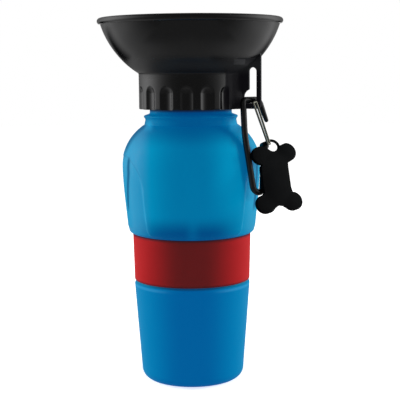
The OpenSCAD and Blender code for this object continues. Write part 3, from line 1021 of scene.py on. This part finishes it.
def joined(parts: Iterable[BMesh]) -> BMesh:
    """Puts several meshes in one.

    Args:
        parts: The meshes, which are freed.

    Returns:
        The one mesh.
    """
    whole = bmesh.new()
    for part in parts:
        holder = bpy.data.meshes.new("part")
        part.to_mesh(holder)
        whole.from_mesh(holder)
        bpy.data.meshes.remove(holder)
        part.free()
    return whole


# ---------------------------------------------------------------- pieces


@dataclass
class Piece:
    """A sub-assembly, with the finishes that dress it."""

    palette: Palette

    def build(self) -> None:
        """Builds the pieces of the sub-assembly."""
        raise NotImplementedError

    def keep(self, bm: BMesh, name: str, body: Body, slot: Slot, node: str, sharp: float = 32.0) -> None:
        """Makes an object of a mesh, dresses it and ties it to its body.

        Args:
            bm: The mesh, which is freed.
            name: The piece's name.
            body: The body that it rides on.
            slot: Its material slot.
            node: The CAD node that it stands for.
            sharp: Edges sharper than this many degrees stay sharp.
        """
        for face in bm.faces:
            face.smooth = True
        for edge in bm.edges:
            edge.smooth = not (len(edge.link_faces) == 2 and math.degrees(edge.calc_face_angle(0.0)) > sharp)
        mesh = bpy.data.meshes.new(name)
        bm.to_mesh(mesh)
        faces = len(bm.faces)
        bm.free()
        obj = bpy.data.objects.new(name, mesh)
        bpy.context.scene.collection.objects.link(obj)
        self.palette.dress(obj, slot)
        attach(obj, body.value)
        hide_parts(node)
        log.info("%s: %d faces on %s", name, faces, body.value)


@dataclass
class SqueezeBottle(Piece):
    """The blown bottle: lower body, band seat, upper body with thumb panels, shoulder and neck."""

    base_r: float = 30.48
    base_corner_r: float = 6.5
    foot: tuple[Pair, ...] = ((15.0, 0.0), (15.3, 0.55), (16.0, 0.6), (18.0, 0.6), (18.7, 0.55), (19.0, 0.0))
    waist_r: float = 34.35
    lower_h: float = 59.5
    edge_r: float = 1.5
    edge_drop: float = 1.9
    edge_stop: float = 62.0
    least_r: float = 0.3  # the inner face's least rounding
    seat_r: float = 33.1
    seat_share: float = 0.4  # the seat's inner ends move by this share of the wall
    upper_z: float = 88.0
    corner_r: float = 6.0
    upper_r: float = 41.0
    peak_z: float = 127.5
    bow_r: float = 350.0
    bow_step: float = 0.9
    bow_steps: int = 36
    shoulder_r: float = 29.0
    shoulder_turn: Pair = (1.5, 58.0)
    groove_r: float = 26.85
    groove_z: float = 155.2
    groove: tuple[Pair, ...] = ((0.15, -1.3), (0.0, -0.6), (0.0, 0.1), (0.3, 0.7))  # steps out and up
    bead_r: float = 27.65
    bead_z: float = 157.0
    bead_round: float = 0.8
    bead_drop: float = 0.2
    bead_turn: Pair = (-60.0, 70.0)
    bead_step: Pair = (-2.2, 1.1)
    neck_r: float = 24.15
    neck_step: tuple[Pair, ...] = ((0.3, 1.5), (0.0, 2.0))  # out from the neck and up from the bead
    neck_top: float = 178.8
    wall: float = 1.2
    panel: ThumbPanel = ThumbPanel()
    panel_depths: Pair = (1.4, 0.32)  # at its foot and at its top
    panel_rise: Pair = (94.0, 132.0)
    panel_edge: float = 0.9
    panel_foot: Pair = (88.0, 92.0)
    panel_reach: Pair = (87.5, 137.0)  # only points between these heights move
    core_r: float = 20.0  # points inside this radius stay
    outer_span: float = 2.4
    inner_span: float = 5.0
    steps: int = 256

    def bow(self, z: float) -> float:
        """Radius of the bowed upper body at a height."""
        return self.upper_r - (self.peak_z - z) ** 2 / (2 * self.bow_r)

    def outline(self, d: float) -> list[Pair]:
        """The wall's outline set in by d, from the base to the neck.

        Args:
            d: How far inside the outer face.

        Returns:
            Radius and height of each point.
        """
        taper = math.degrees(math.atan2(self.waist_r - self.base_r, self.lower_h - self.base_corner_r))
        corner_z = self.upper_z + self.corner_r
        heights = [corner_z + self.bow_step * i for i in range(1, self.bow_steps + 1)]
        groove, bead, neck = self.groove_r - d, self.bead_r - d, self.neck_r - d
        base, shoulder, lip = self.base_corner_r, self.shoulder_r, self.bead_round
        points = [(0.0, d)] + [(r, d + rise) for r, rise in self.foot]
        points += arc(self.base_r - base, base, base - d, -90, -taper, steps=16)
        edge_r, edge_z = max(self.least_r, self.edge_r - d), self.lower_h - self.edge_drop
        points += arc(self.waist_r - self.edge_r, edge_z, edge_r, -taper, self.edge_stop, steps=8)
        points += [(self.seat_r - d, self.lower_h - self.seat_share * d)]
        points += [(self.seat_r - d, self.upper_z + self.seat_share * d)]
        points += arc(self.bow(corner_z) - self.corner_r, corner_z, self.corner_r - d, -90, 0, steps=14)
        points += [(self.bow(z) - d, z) for z in heights]
        points += arc(self.upper_r - shoulder, self.peak_z, shoulder - d, *self.shoulder_turn, steps=34)
        points += [(groove + out, self.groove_z + up) for out, up in self.groove]
        points += arc(bead - lip, self.bead_z - self.bead_drop, lip, *self.bead_turn, steps=6)
        points += [(bead + self.bead_step[0], self.bead_z + self.bead_step[1])]
        points += [(neck + out, self.bead_z + up) for out, up in self.neck_step]
        return points + [(neck, self.neck_top)]

    def panel_depth(self, t: float, z: float) -> float:
        """How deep a thumb panel is at a point.

        Args:
            t: Distance across the panel from its middle.
            z: Height.

        Returns:
            The depth, 0 outside the panel.
        """
        foot, top = self.panel_depths
        depth = foot + (top - foot) * ease(z, *self.panel_rise)
        return depth * ease(self.panel.inside(t, z), 0.0, self.panel_edge) * ease(z, *self.panel_foot)

    def build(self) -> None:
        """Builds the bottle and presses its thumb panels in."""
        outer = fill_in(self.outline(0.0), self.outer_span)
        inner = fill_in(self.outline(self.wall), self.inner_span)
        bm = spun(outer + inner[::-1], self.steps, closed=False)
        turn = Matrix.Rotation(-math.radians(self.panel.turn), 3, "Z")
        low, high = self.panel_reach
        for vert in bm.verts:
            z = vert.co.z / MM
            if not low < z < high:
                continue
            flat = turn @ vert.co
            r = math.hypot(flat.x, flat.y) / MM
            depth = self.panel_depth(flat.y / MM, z)
            if depth > 0.0 and r > self.core_r:
                vert.co.xy *= (r - depth) / r
        self.keep(bm, "squeeze_bottle", Body.BOTTLE, Slot.BOTTLE, "bottle", sharp=40.0)


@dataclass
class GripBand(Piece):
    """The silicone band on its seat."""

    low_z: float = 60.3
    high_z: float = 87.7
    inner_r: float = 33.12
    low_r: float = 34.3
    high_r: float = 34.95
    edge: float = 0.45
    span: float = 3.0
    steps: int = 224

    def build(self) -> None:
        """Builds the band."""
        e = self.edge
        outline = [(self.inner_r, self.low_z)]
        outline += arc(self.low_r - e, self.low_z + e, e, -90, 0, steps=5)
        outline += arc(self.high_r - e, self.high_z - e, e, 0, 90, steps=5)
        outline += [(self.inner_r, self.high_z)]
        bm = spun(fill_in(outline, self.span), self.steps, closed=True)
        self.keep(bm, "grip_sleeve", Body.BOTTLE, Slot.BAND, "grip_band")


@dataclass
class BowlCap(Piece):
    """The drinking bowl and fluted screw collar in one moulding, with its lug, nozzle and spigot."""

    collar_r: float = 30.4
    collar_z: float = 161.2
    collar_top: float = 181.85
    collar_edge: float = 0.6
    collar_step: float = 0.62
    collar_steps: int = 31
    bore_r: float = 26.1
    roof_z: float = 180.6
    hole_r: float = 3.4
    curve: BowlCurve = BowlCurve()
    join_drop: float = 0.3
    join_turn: float = 0.5
    wall: float = 2.0
    rim_r: float = 1.9
    rim_z: float = 212.0
    rim_x: float = 52.35
    rim_turn: Pair = (-95.0, 175.0)
    rim_drops: Pair = (1.6, 1.0)  # how far under the rim's middle the outer and the inner face end
    floor_z: float = 183.0
    floor_r: float = 30.5
    floor_edge: tuple[Pair, ...] = ((28.6, 0.12), (27.0, 0.0))
    span: float = 3.0
    steps: int = 384
    flutes: int = 16
    flute_r: float = 6.0
    flute_depth: float = 1.7
    flute_top: float = 173.3
    flute_turn: float = -94.4
    flute_in: float = 0.75  # points further in than this stay
    flute_over: float = 1.5  # and so do points further over the flutes' top than this
    plain_half: float = 14.0  # degrees to each side of the lug that have no flute
    lug_t: float = 3.0
    lug_reach: float = 42.8
    lug_corner: float = 2.0
    lug_inset: float = 1.0
    lug_crown: tuple[float, ...] = (40.0, 37.0, 34.0, 31.5)  # radii at which the top edge follows the bowl
    lug_root: float = 2.0
    lug_root_top: float = 181.0
    slot_floor: float = 164.55
    slot_in: float = 35.8
    slot_out: float = 40.35
    slot_top: float = 185.0
    slot_foot_in: float = 32.6
    slot_wall: float = 8.6
    slot_foot_r: float = 4.6
    slot_foot_rise: float = 3.4
    slot_foot_turn: Pair = (108.0, 172.0)
    web_angle: float = 25.0
    web_root: Pair = (24.0, 8.0)
    web_tip: Pair = (32.3, 1.5)
    web_drop: float = 4.2
    web_split: float = 170.0  # points over this height belong to the web's top
    web_in: Pair = (26.5, 26.8)  # the web's foot moves out from inside the first radius to the second
    web_roof_r: float = 27.0  # inside this radius the top stays in the collar's roof
    web_roof_rise: float = 1.0
    nozzle_bore: tuple[Pair, ...] = ((6.0, 182.5), (3.4, 182.5), (3.4, 194.6), (3.8, 195.0), (5.6, 195.0))
    nozzle_groove: tuple[Pair, ...] = ((6.0, 194.6), (6.0, 194.0), (5.55, 194.0), (5.55, 192.8), (6.0, 192.8))
    nozzle_catch: tuple[Pair, ...] = ((6.0, 192.0), (6.3, 192.0), (6.5, 191.0), (6.0, 191.0))
    post: tuple[Pair, ...] = ((0.0, 187.0), (1.9, 187.0), (1.9, 197.0), (1.5, 197.4), (0.0, 197.4))
    spigot: tuple[Pair, ...] = ((4.5, 168.0), (6.0, 168.0), (6.0, 180.6), (4.5, 180.6))
    ribs: int = 3
    rib: Triple = (2.4, 1.2, 4.0)
    rib_place: Triple = (2.7, 0.0, 189.0)

    def shell(self) -> BMesh:
        """The bowl and collar, with the flutes pressed in.

        Returns:
            The mesh.
        """
        curve, edge = self.curve, self.collar_edge
        low = math.degrees(math.atan2(self.collar_top - curve.z, self.collar_r - curve.x))
        high = curve.angle_at(self.rim_z - self.rim_drops[0], 0.0)
        lip = curve.angle_at(self.rim_z - self.rim_drops[1], self.wall)
        floor = curve.angle_out(self.floor_r, self.wall)
        outline = [(self.hole_r, self.roof_z), (self.bore_r, self.roof_z), (self.bore_r, self.collar_z)]
        outline += arc(self.collar_r - edge, self.collar_z + edge, edge, -90, 0, steps=4)
        rings = range(1, self.collar_steps + 1)
        outline += [(self.collar_r, self.collar_z + edge + self.collar_step * i) for i in rings]
        outline += [(self.collar_r, self.collar_top - self.join_drop)]
        outline += arc(curve.x, curve.z, curve.r, low + self.join_turn, high, steps=40)
        outline += arc(self.rim_x, self.rim_z, self.rim_r, *self.rim_turn, steps=18)
        outline += arc(curve.x, curve.z, curve.r - self.wall, lip, floor, steps=40)
        outline += [(r, self.floor_z + rise) for r, rise in self.floor_edge]
        outline += [(self.hole_r, self.floor_z)]
        bm = spun(fill_in(outline, self.span), self.steps, closed=True)
        for vert in bm.verts:
            self.flute(vert)
        return bm

    def flute(self, vert: bmesh.types.BMVert) -> None:
        """Moves a point of the collar in to the floor of its flute.

        Args:
            vert: The point.
        """
        x, y, z = (c / MM for c in vert.co)
        r = math.hypot(x, y)
        if r < self.collar_r - self.flute_in or z > self.flute_top + self.flute_over:
            return
        bearing = math.degrees(math.atan2(y, x))
        if abs((bearing - LUG_TURN + 180) % 360 - 180) < self.plain_half:
            return
        pitch = 360.0 / self.flutes
        off = math.radians((bearing - self.flute_turn + pitch / 2) % pitch - pitch / 2)
        reach = self.flute_r**2 - max(0.0, z - self.flute_top + self.flute_r / 2) ** 2
        hub = self.collar_r - self.flute_depth + self.flute_r
        side = hub * math.sin(off)
        if reach > 0 and side * side < reach:
            near = hub * math.cos(off) - math.sqrt(reach - side * side)
            if near < r:
                vert.co.xy *= near / r

    def lug(self) -> BMesh:
        """The flat lug with its slot, and the web that fairs it into the collar.

        Returns:
            The mesh, at its place.
        """
        curve, corner, root = self.curve, self.lug_corner, self.collar_r - self.lug_root
        edge = [(root, self.collar_z)]
        edge += arc(self.lug_reach - corner, self.collar_z + corner, corner, -90, 0, steps=6)
        edge += [(x, curve.height(x, self.lug_inset)) for x in (self.lug_reach, *self.lug_crown)]
        edge += [(root, self.lug_root_top)]
        half = (self.slot_out - self.slot_in) / 2
        foot_x, foot_z = self.slot_foot_in + self.slot_foot_r, self.slot_floor + self.slot_foot_rise
        slot = [(self.slot_foot_in, self.slot_floor), (self.slot_out, self.slot_floor)]
        slot += arc(self.slot_out - half, self.slot_top - half, half, 0, 180, steps=12)
        slot += [(self.slot_in, self.slot_floor + self.slot_wall)]
        slot += arc(foot_x, foot_z, self.slot_foot_r, *self.slot_foot_turn, steps=5)
        bm = plate(edge, [slot], -self.lug_t / 2, self.lug_t / 2)
        round_rims(bm, width=0.35, segments=2)
        return turned(joined([turned(bm, 90, "X"), self.web()]), LUG_TURN, "Z")

    def web(self) -> BMesh:
        """The web that fairs the lug into the collar, before the lug's turn.

        Returns:
            The mesh.
        """
        curve = self.curve
        a = math.radians(self.web_angle)
        half = [self.web_root, (self.collar_r * math.cos(a), self.collar_r * math.sin(a)), self.web_tip]
        outline = [(x, -y) for x, y in half] + half[::-1]
        bm = plate(outline, [], self.collar_z, curve.height(self.lug_reach, self.lug_inset) - self.web_drop)
        for vert in bm.verts:
            r = math.hypot(vert.co.x, vert.co.y) / MM
            if vert.co.z > self.web_split * MM:
                roof = self.roof_z + self.web_roof_rise
                if r > self.web_roof_r:
                    roof = curve.height(max(r, self.collar_r), self.lug_inset)
                vert.co.z = min(vert.co.z, roof * MM)
            elif r < self.web_in[0]:
                vert.co.xy *= self.web_in[1] / r
        return bm

    def spout(self) -> BMesh:
        """The nozzle with its catch and groove, the post on its ribs, and the spigot.

        Returns:
            The mesh.
        """
        nozzle = [*self.nozzle_bore, *self.nozzle_groove, *self.nozzle_catch]
        parts = [spun(nozzle, steps=64, closed=True), spun(self.post, steps=48, closed=False)]
        parts += [spun(self.spigot, steps=64, closed=True)]
        for i in range(self.ribs):
            rib = bmesh.new()
            bmesh.ops.create_cube(rib, size=1.0)
            bmesh.ops.scale(rib, verts=rib.verts[:], vec=[size * MM for size in self.rib])
            bmesh.ops.translate(rib, verts=rib.verts[:], vec=[place * MM for place in self.rib_place])
            parts.append(turned(rib, 360 * i / self.ribs, "Z"))
        return joined(parts)

    def build(self) -> None:
        """Builds the cap."""
        self.keep(self.shell(), "bowl_and_collar", Body.CAP, Slot.CAP, "bowl_cap", sharp=36.0)
        self.keep(self.lug(), "clip_lug", Body.CAP, Slot.CAP, "bowl_cap", sharp=30.0)
        self.keep(self.spout(), "drink_spout", Body.CAP, Slot.CAP, "bowl_cap", sharp=30.0)


@dataclass(frozen=True)
class ClipFrame:
    """The plane in which the clip hangs: across, up and out of it."""

    reach: float = 36.5
    height: float = 166.4
    turn: float = 38.0
    lean: float = 18.7

    def placed(self, bm: BMesh) -> BMesh:
        """Moves a mesh from the clip's plane to its place on the lug.

        Args:
            bm: The mesh, in metres.

        Returns:
            The same mesh.
        """
        a = math.radians(LUG_TURN)
        matrix = Matrix.Translation((self.reach * math.cos(a), self.reach * math.sin(a), self.height))
        matrix = matrix @ Matrix.Rotation(math.radians(self.turn), 4, "Z")
        matrix = matrix @ Matrix.Rotation(math.radians(90 - self.lean), 4, "X")
        matrix.translation *= MM
        bmesh.ops.transform(bm, matrix=matrix, verts=bm.verts[:])
        return bm


@dataclass
class Clip(Piece):
    """The black rod of the clip and its wire gate, with the points of their paths given across and down."""

    frame: ClipFrame = ClipFrame()
    rod_r: float = 1.8
    nose_r: float = 1.25
    wire_r: float = 0.62
    pivot: Pair = (2.6, 27.8)
    front: float = 4.2
    back: float = -2.2
    path: tuple[Pair, ...] = ((8.6, 12.6), (6.2, 0.0), (-5.7, 0.0), (-10.2, 20.5), (-14.7, 77.5), (2.6, 27.8))
    bends: tuple[float, ...] = (3.5, 2.4, 80.0, 3.455)  # radius at each inner point of the path
    bend_step: float = 6.0  # degrees
    least_steps: int = 6
    stub: float = 1.3  # the rod ends this far short of the pivot
    block_r: float = 2.3
    block_half: float = 1.6
    pin_hole: float = 0.61
    head_r: float = 1.0
    head_t: float = 0.5
    corner_gain: float = 1.02  # the balls at the corners over the wire
    wires: tuple[tuple[Pair, Pair], ...] = (((1.8, 27.8), (-2.2, 3.0)), ((3.4, 27.8), (0.1, 2.6)))

    def centre_line(self) -> list[Vector]:
        """The rod's centre line, with its bends, in the clip's plane.

        Returns:
            The points, from the nose to the pivot.
        """
        points = [Vector((x, -y)) for x, y in self.path]
        line = [points[0]]
        for before, here, after, bend in zip(points, points[1:], points[2:], self.bends):
            one, other = (before - here).normalized(), (after - here).normalized()
            half = one.angle(other) / 2
            centre = here + (one + other).normalized() * bend / math.sin(half)
            middle = here - centre
            start = math.atan2(middle.y, middle.x)
            side = 1.0 if one.x * other.y - one.y * other.x < 0 else -1.0
            span = math.pi - 2 * half
            steps = max(self.least_steps, int(math.degrees(span) / self.bend_step))
            for i in range(steps + 1):
                a = start + side * span * (i / steps - 0.5)
                line.append(centre + Vector((math.cos(a), math.sin(a))) * bend)
        line.append(points[-1])
        return [Vector((p.x, p.y, 0.0)) for p in line]

    def hook(self) -> BMesh:
        """The bent rod with its round nose and the block that holds the gate's pin.

        Returns:
            The mesh, in the clip's plane.
        """
        line = self.centre_line()
        line[-1] = line[-1] + (line[-2] - line[-1]).normalized() * self.stub
        x, y = self.pivot
        hole = arc(x, -y, self.pin_hole, 0, 330, steps=11)
        edge = arc(x, -y, self.block_r, 0, 345, steps=23)
        block = plate(edge, [hole], -self.block_half, self.block_half)
        round_rims(block, width=0.2, segments=2)
        bent = rod(line, self.rod_r, "clip_rod", self.nose_r / self.rod_r)
        return joined([bent, ball(self.nose_r, line[0], around=24, rings=14), block])

    def gate(self) -> BMesh:
        """The two wires of the gate, closed at both ends, with their pin and its head.

        Returns:
            The mesh, in the clip's plane.
        """
        (a, b), (c, d) = self.wires
        loop = [Vector((x, -y, self.front)) for x, y in (a, b, d, c, a)]
        x, y = self.pivot
        front, head, back = (Vector((x, -y, z)) for z in (self.front, self.back + self.head_t, self.back))
        parts = [rod([one, other], self.wire_r, "wire") for one, other in zip(loop, loop[1:])]
        parts += [ball(self.wire_r * self.corner_gain, corner, around=16, rings=10) for corner in loop[:4]]
        parts += [rod([back, front], self.wire_r, "pin"), rod([back, head], self.head_r, "head")]
        return joined(parts)

    def build(self) -> None:
        """Builds the rod and the gate."""
        hook, gate = self.frame.placed(self.hook()), self.frame.placed(self.gate())
        self.keep(hook, "clip_hook", Body.CLIP, Slot.CLIP, "carabiner_body", sharp=40.0)
        self.keep(gate, "clip_gate", Body.GATE, Slot.GATE, "carabiner_gate", sharp=40.0)


@dataclass
class BoneTag(Piece):
    """The flat bone-shaped tag with its eyelet. Places are given across and down, and steps across and up."""

    frame: ClipFrame = ClipFrame()
    lobes: tuple[Pair, ...] = ((-4.5, 34.3), (15.2, 33.3), (11.7, 62.2), (-9.1, 62.3))
    lobe_w: float = 6.8
    lobe_h: float = 5.4
    left_side: tuple[Pair, ...] = ((-2.2, -6.4), (-2.7, -8.2), (-3.4, -13.0), (-4.0, -18.0))
    left_foot: Pair = (0.6, 6.2)
    middle: tuple[Pair, ...] = ((-2.6, -2.0), (0.0, -1.5), (2.6, -2.0))
    middle_shift: float = 0.3
    right_foot: Pair = (0.5, 8.0)
    right_side: tuple[Pair, ...] = ((-1.7, -9.0), (-1.2, -6.4))
    eye: Pair = (5.45, 29.25)
    eye_w: float = 4.65
    eye_h: float = 2.95
    eye_rim: float = 1.45
    bite_gap: float = 0.15
    bite_drop: float = 0.6
    thick: float = 2.2
    eye_thick: float = 1.2
    back: float = 2.15

    def oval(self, centre: Pair, w: float, h: float, start: float, stop: float, steps: int) -> list[Pair]:
        """Points on an oval, angles in degrees.

        Args:
            centre: Its middle, across and down.
            w: Half its width.
            h: Half its height.
            start: First angle.
            stop: Last angle.
            steps: Number of segments.

        Returns:
            The points, across and up.
        """
        turns = [math.radians(start + (stop - start) * i / steps) for i in range(steps + 1)]
        return [(centre[0] + w * math.cos(a), -centre[1] + h * math.sin(a)) for a in turns]

    def beside(self, place: Pair, steps: Iterable[Pair]) -> list[Pair]:
        """Points at steps across and up from a place."""
        return [(place[0] + across, up - place[1]) for across, up in steps]

    def bite(self) -> list[Pair]:
        """The bite that the eyelet takes out of the top edge.

        Returns:
            Its points, from right to left.
        """
        top = self.lobe_h - min(down for _, down in self.lobes)
        edge = self.oval(self.eye, self.eye_w + self.bite_gap, self.eye_h + self.bite_gap, 0, -180, steps=24)
        return [p for p in edge if p[1] < top - self.bite_drop]

    def outline(self) -> list[Pair]:
        """The bone's outline, counter-clockwise from the top right lobe.

        Returns:
            The points, across and up.
        """
        a, b, c, d = self.lobes
        w, h = self.lobe_w, self.lobe_h
        middle = ((c[0] + d[0]) / 2 + self.middle_shift, (c[1] + d[1]) / 2)
        edge = self.oval(b, w, h, -66, 90, steps=18) + self.bite()
        edge += self.oval(a, w, h, 90, 262, steps=20) + self.beside(a, self.left_side)
        edge += self.beside(d, [self.left_foot]) + self.oval(d, w, h, 96, 322, steps=24)
        edge += self.beside(middle, self.middle) + self.oval(c, w, h, 218, 442, steps=24)
        return edge + self.beside(c, [self.right_foot]) + self.beside(b, self.right_side)

    def build(self) -> None:
        """Builds the tag."""
        hole = self.oval(self.eye, self.eye_w, self.eye_h, 0, 350, steps=35)
        rim = self.oval(self.eye, self.eye_w + self.eye_rim, self.eye_h + self.eye_rim, 0, 350, steps=35)
        ring = plate(rim, [hole], self.back, self.back + self.eye_thick)
        round_rims(ring, width=0.25, segments=2)
        bone = plate(self.outline(), [], self.back, self.back + self.thick)
        round_rims(bone, width=0.45, segments=3, least=60.0)
        tag = self.frame.placed(joined([bone, ring]))
        self.keep(tag, "bone_plate", Body.TAG, Slot.TAG, "bone_tag", sharp=35.0)


@dataclass
class Stopper(Piece):
    """The pull-up valve on the nozzle."""

    top_z: float = 197.6
    flange_r: float = 11.0
    flange_edge: float = 0.7
    foot: tuple[Pair, ...] = ((6.1, 183.6), (7.9, 183.6), (8.2, 183.9))
    grip: tuple[Pair, ...] = ((8.2, 5.4), (8.6, 4.9), (10.6, 3.0), (11.0, 2.6))
    hole: tuple[Pair, ...] = ((2.3, 197.6), (1.96, 197.3))
    bore: tuple[Pair, ...] = ((1.96, 195.6), (6.6, 195.6), (6.6, 184.8), (6.1, 184.8))

    def build(self) -> None:
        """Builds the stopper."""
        outline = [*self.foot, *((r, self.top_z - drop) for r, drop in self.grip)]
        edge_r, edge_z = self.flange_r - self.flange_edge, self.top_z - self.flange_edge
        outline += arc(edge_r, edge_z, self.flange_edge, 0, 90, steps=5)
        bm = spun([*outline, *self.hole, *self.bore], steps=96, closed=True)
        self.keep(bm, "pull_stopper", Body.VALVE, Slot.CAP, "stopper", sharp=34.0)


# ---------------------------------------------------------------- studio


@dataclass
class Studio:
    """Floor, world, lamps and camera.

    Spans of the walls and gap are parts of a direction, spans of the table and ground are millimetres on the
    floor, and the floor's half width, the lamps and the eye are in metres. The focal length, the drop of the
    view's middle under the horizon and the render's width are in points of the render.
    """

    fill: float = 0.16
    front: float = 0.15
    front_gain: float = 0.06
    front_span: Pair = (-0.95, -0.6)
    side_gain: float = 1.5
    side_zone: Zone = ((-1.0, 0.2), (0.97, 0.25))
    back_gain: float = 0.8
    back_span: Pair = (0.975, 0.99)
    table_level: float = 0.22
    table_gains: Pair = (0.09, 0.2)
    table_x: Pair = (40.0, 230.0)
    table_edge: Pair = (216.0, 234.0)
    near_slope: float = 0.55
    near_y: Pair = (-240.0, -120.0)
    ground_gain: float = 0.5
    ground_y: Pair = (-300.0, 60.0)
    ground_x: Pair = (230.0, 520.0)
    ground_shares: Pair = (0.75, 1.1)
    gap_slope: float = 0.1
    gap_span: Pair = (0.89, 0.57)
    horizon: Pair = (700.0, 1500.0)
    wall_z: Pair = (0.9, 0.4)
    roof_z: Pair = (0.5, 1.0)
    roof_gain: float = 0.15
    bounce: Triple = (0.35, 0.35, 0.35)
    pale: Triple = (0.85, 0.85, 0.85)
    near_glow: Triple = (0.72, 0.72, 0.72)
    white: Triple = (1.0, 1.0, 1.0)
    glow_span: Pair = (60.0, 320.0)
    floor_half: float = 3.0
    lamp_place: Triple = (0.97, 0.26, 0.2)
    lamp_size: Pair = (0.35, 0.8)
    lamp_aim: Triple = (0.0, 0.0, 0.12)
    lamp_powers: Pair = (14.5, 14.6)
    eye: Triple = (0.0, -0.626, 0.18254)
    yaw: float = 0.4576
    roll: float = -0.45
    drop: float = 128.0
    focal: float = 1060.0
    render_width: float = 400.0
    sensor: float = 36.0
    nearest: float = 0.01

    def walls(self, ahead: Flow) -> Flow:
        """How bright the walls look to the gloss: dark in front, bright at the sides and white behind.

        Args:
            ahead: How much of the direction points to the back, from -1 to 1.

        Returns:
            The brightness.
        """
        front = self.front + ahead.ramp(*self.front_span) * self.front_gain
        rise, fall = (ahead.ramp(*span) for span in self.side_zone)
        return front + rise * rise * fall * self.side_gain + ahead.ramp(*self.back_span) * self.back_gain

    def table(self, x: Flow, y: Flow) -> Flow:
        """How bright the floor looks to the gloss: a dull table with paler ground beside it.

        Args:
            x: The point across the floor.
            y: The point from front to back.

        Returns:
            The brightness.
        """
        far = (x * x + y * y) ** 0.5
        ahead = y / far.most(1.0)
        across = abs(x)
        near = (y - across * self.near_slope).ramp(*self.near_y)
        level, beside = self.table_gains
        inside = self.table_level + near * (level + across.ramp(*self.table_x) * beside)
        gap = (ahead - x / far.most(1.0) * self.gap_slope).ramp(*self.gap_span)
        ground = self.table_level + y.ramp(*self.ground_y) * self.ground_gain
        outside = ground * across.ramp(*self.ground_x, *self.ground_shares) * gap
        edge = across.ramp(*self.table_edge)
        reach = far.ramp(*self.horizon)
        return (inside * (1 - edge) + outside * edge) * (1 - reach) + self.walls(ahead) * reach

    def world(self) -> None:
        """A white surround to the camera; to the gloss, dark in front and paler at the sides."""
        world = bpy.data.worlds.new("surround")
        bpy.context.scene.world = world
        world.use_nodes = True
        w = Weave.over(world.node_tree)
        _, y, z = w.parts("Generated")
        gloss = self.walls(y) * z.ramp(*self.wall_z) + z.ramp(*self.roof_z) * self.roof_gain
        seen, mirrored = w.rays()
        strength = seen + (1 - seen) * (mirrored * gloss + (1 - mirrored) * self.fill)
        surround = w.node("ShaderNodeBackground", values={"Color": self.white, "Strength": strength})
        out = w.tree.nodes.new("ShaderNodeOutputWorld")
        w.tree.links.new(surround.socket, out.inputs["Surface"])

    def floor(self) -> None:
        """A pale floor: white with the shadow to the camera, and a table on paler ground to the gloss."""
        bm = bmesh.new()
        bmesh.ops.create_grid(bm, x_segments=1, y_segments=1, size=self.floor_half)
        mesh = bpy.data.meshes.new("floor")
        bm.to_mesh(mesh)
        bm.free()
        floor = bpy.data.objects.new("floor", mesh)
        bpy.context.scene.collection.objects.link(floor)
        w = Weave("pale_floor")
        x, y, _ = w.place()
        seen, mirrored = w.rays()
        plain = w.node("ShaderNodeBsdfDiffuse", values={"Color": self.bounce})
        white = w.node("ShaderNodeBsdfDiffuse", values={"Color": self.pale})
        far = ((x * x + y * y) ** 0.5).ramp(*self.glow_span)
        glow = w.node("ShaderNodeEmission", values={"Color": w.blend(far, self.near_glow, self.white)})
        lit = w.node("ShaderNodeAddShader", values={0: white, 1: glow})
        dull = w.node("ShaderNodeEmission", values={"Color": self.white, "Strength": self.table(x, y)})
        soft = w.node("ShaderNodeMixShader", values={0: mirrored, 1: plain, 2: dull})
        w.node_out(w.node("ShaderNodeMixShader", values={0: seen, 1: soft, 2: lit}))
        mesh.materials.append(w.material)

    def lamp(self, name: str, side: float, power: float) -> None:
        """Adds a soft box that looks at the bottle.

        Args:
            name: The lamp's name.
            side: -1 for the left and 1 for the right.
            power: Its power, in watts.
        """
        light = bpy.data.lights.new(name, "AREA")
        light.shape = "RECTANGLE"
        light.size, light.size_y = self.lamp_size
        light.energy = power
        x, y, z = self.lamp_place
        place = Vector((side * x, y, z))
        obj = bpy.data.objects.new(name, light)
        obj.location = place
        obj.rotation_euler = (Vector(self.lamp_aim) - place).to_track_quat("-Z", "Y").to_euler()
        obj.visible_glossy = False
        bpy.context.scene.collection.objects.link(obj)

    def camera(self) -> None:
        """The camera, pitched down and a little rolled, with no shift."""
        pitch, yaw, roll = math.atan(self.drop / self.focal), math.radians(self.yaw), math.radians(self.roll)
        ahead = Vector((math.sin(yaw) * math.cos(pitch), math.cos(yaw) * math.cos(pitch), -math.sin(pitch)))
        level = Vector((math.cos(yaw), -math.sin(yaw), 0.0))
        above = level.cross(ahead)
        right = level * math.cos(roll) + above * math.sin(roll)
        up = above * math.cos(roll) - level * math.sin(roll)
        data = bpy.data.cameras.new("camera")
        data.sensor_width = self.sensor
        data.lens = self.sensor * self.focal / self.render_width
        data.clip_start = self.nearest
        camera = bpy.data.objects.new("camera", data)
        camera.matrix_world = Matrix.Translation(self.eye) @ Matrix((right, up, -ahead)).transposed().to_4x4()
        bpy.context.scene.collection.objects.link(camera)
        bpy.context.scene.camera = camera

    def build(self) -> None:
        """Builds the studio."""
        bpy.context.scene.view_settings.view_transform = "Standard"
        self.world()
        self.floor()
        self.lamp("left_box", -1.0, self.lamp_powers[0])
        self.lamp("right_box", 1.0, self.lamp_powers[1])
        self.camera()


def main() -> None:
    """Builds every piece over the frame."""
    logging.basicConfig(level=logging.INFO, format="%(name)s: %(message)s")
    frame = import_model()
    palette = Palette()
    slots = {entry["node"]: Slot(entry["material_slot"]) for entry in frame["record"]["subparts"]}
    for node, obj in frame["nodes"].items():
        palette.dress(obj, slots[node])
        log.info("%s: dressed as %s", node, slots[node].value)
    makers: tuple[type[Piece], ...] = (SqueezeBottle, GripBand, BowlCap, Stopper, Clip, BoneTag)
    for maker in makers:
        maker(palette).build()
    Studio().build()


if __name__ == "__main__":
    main()
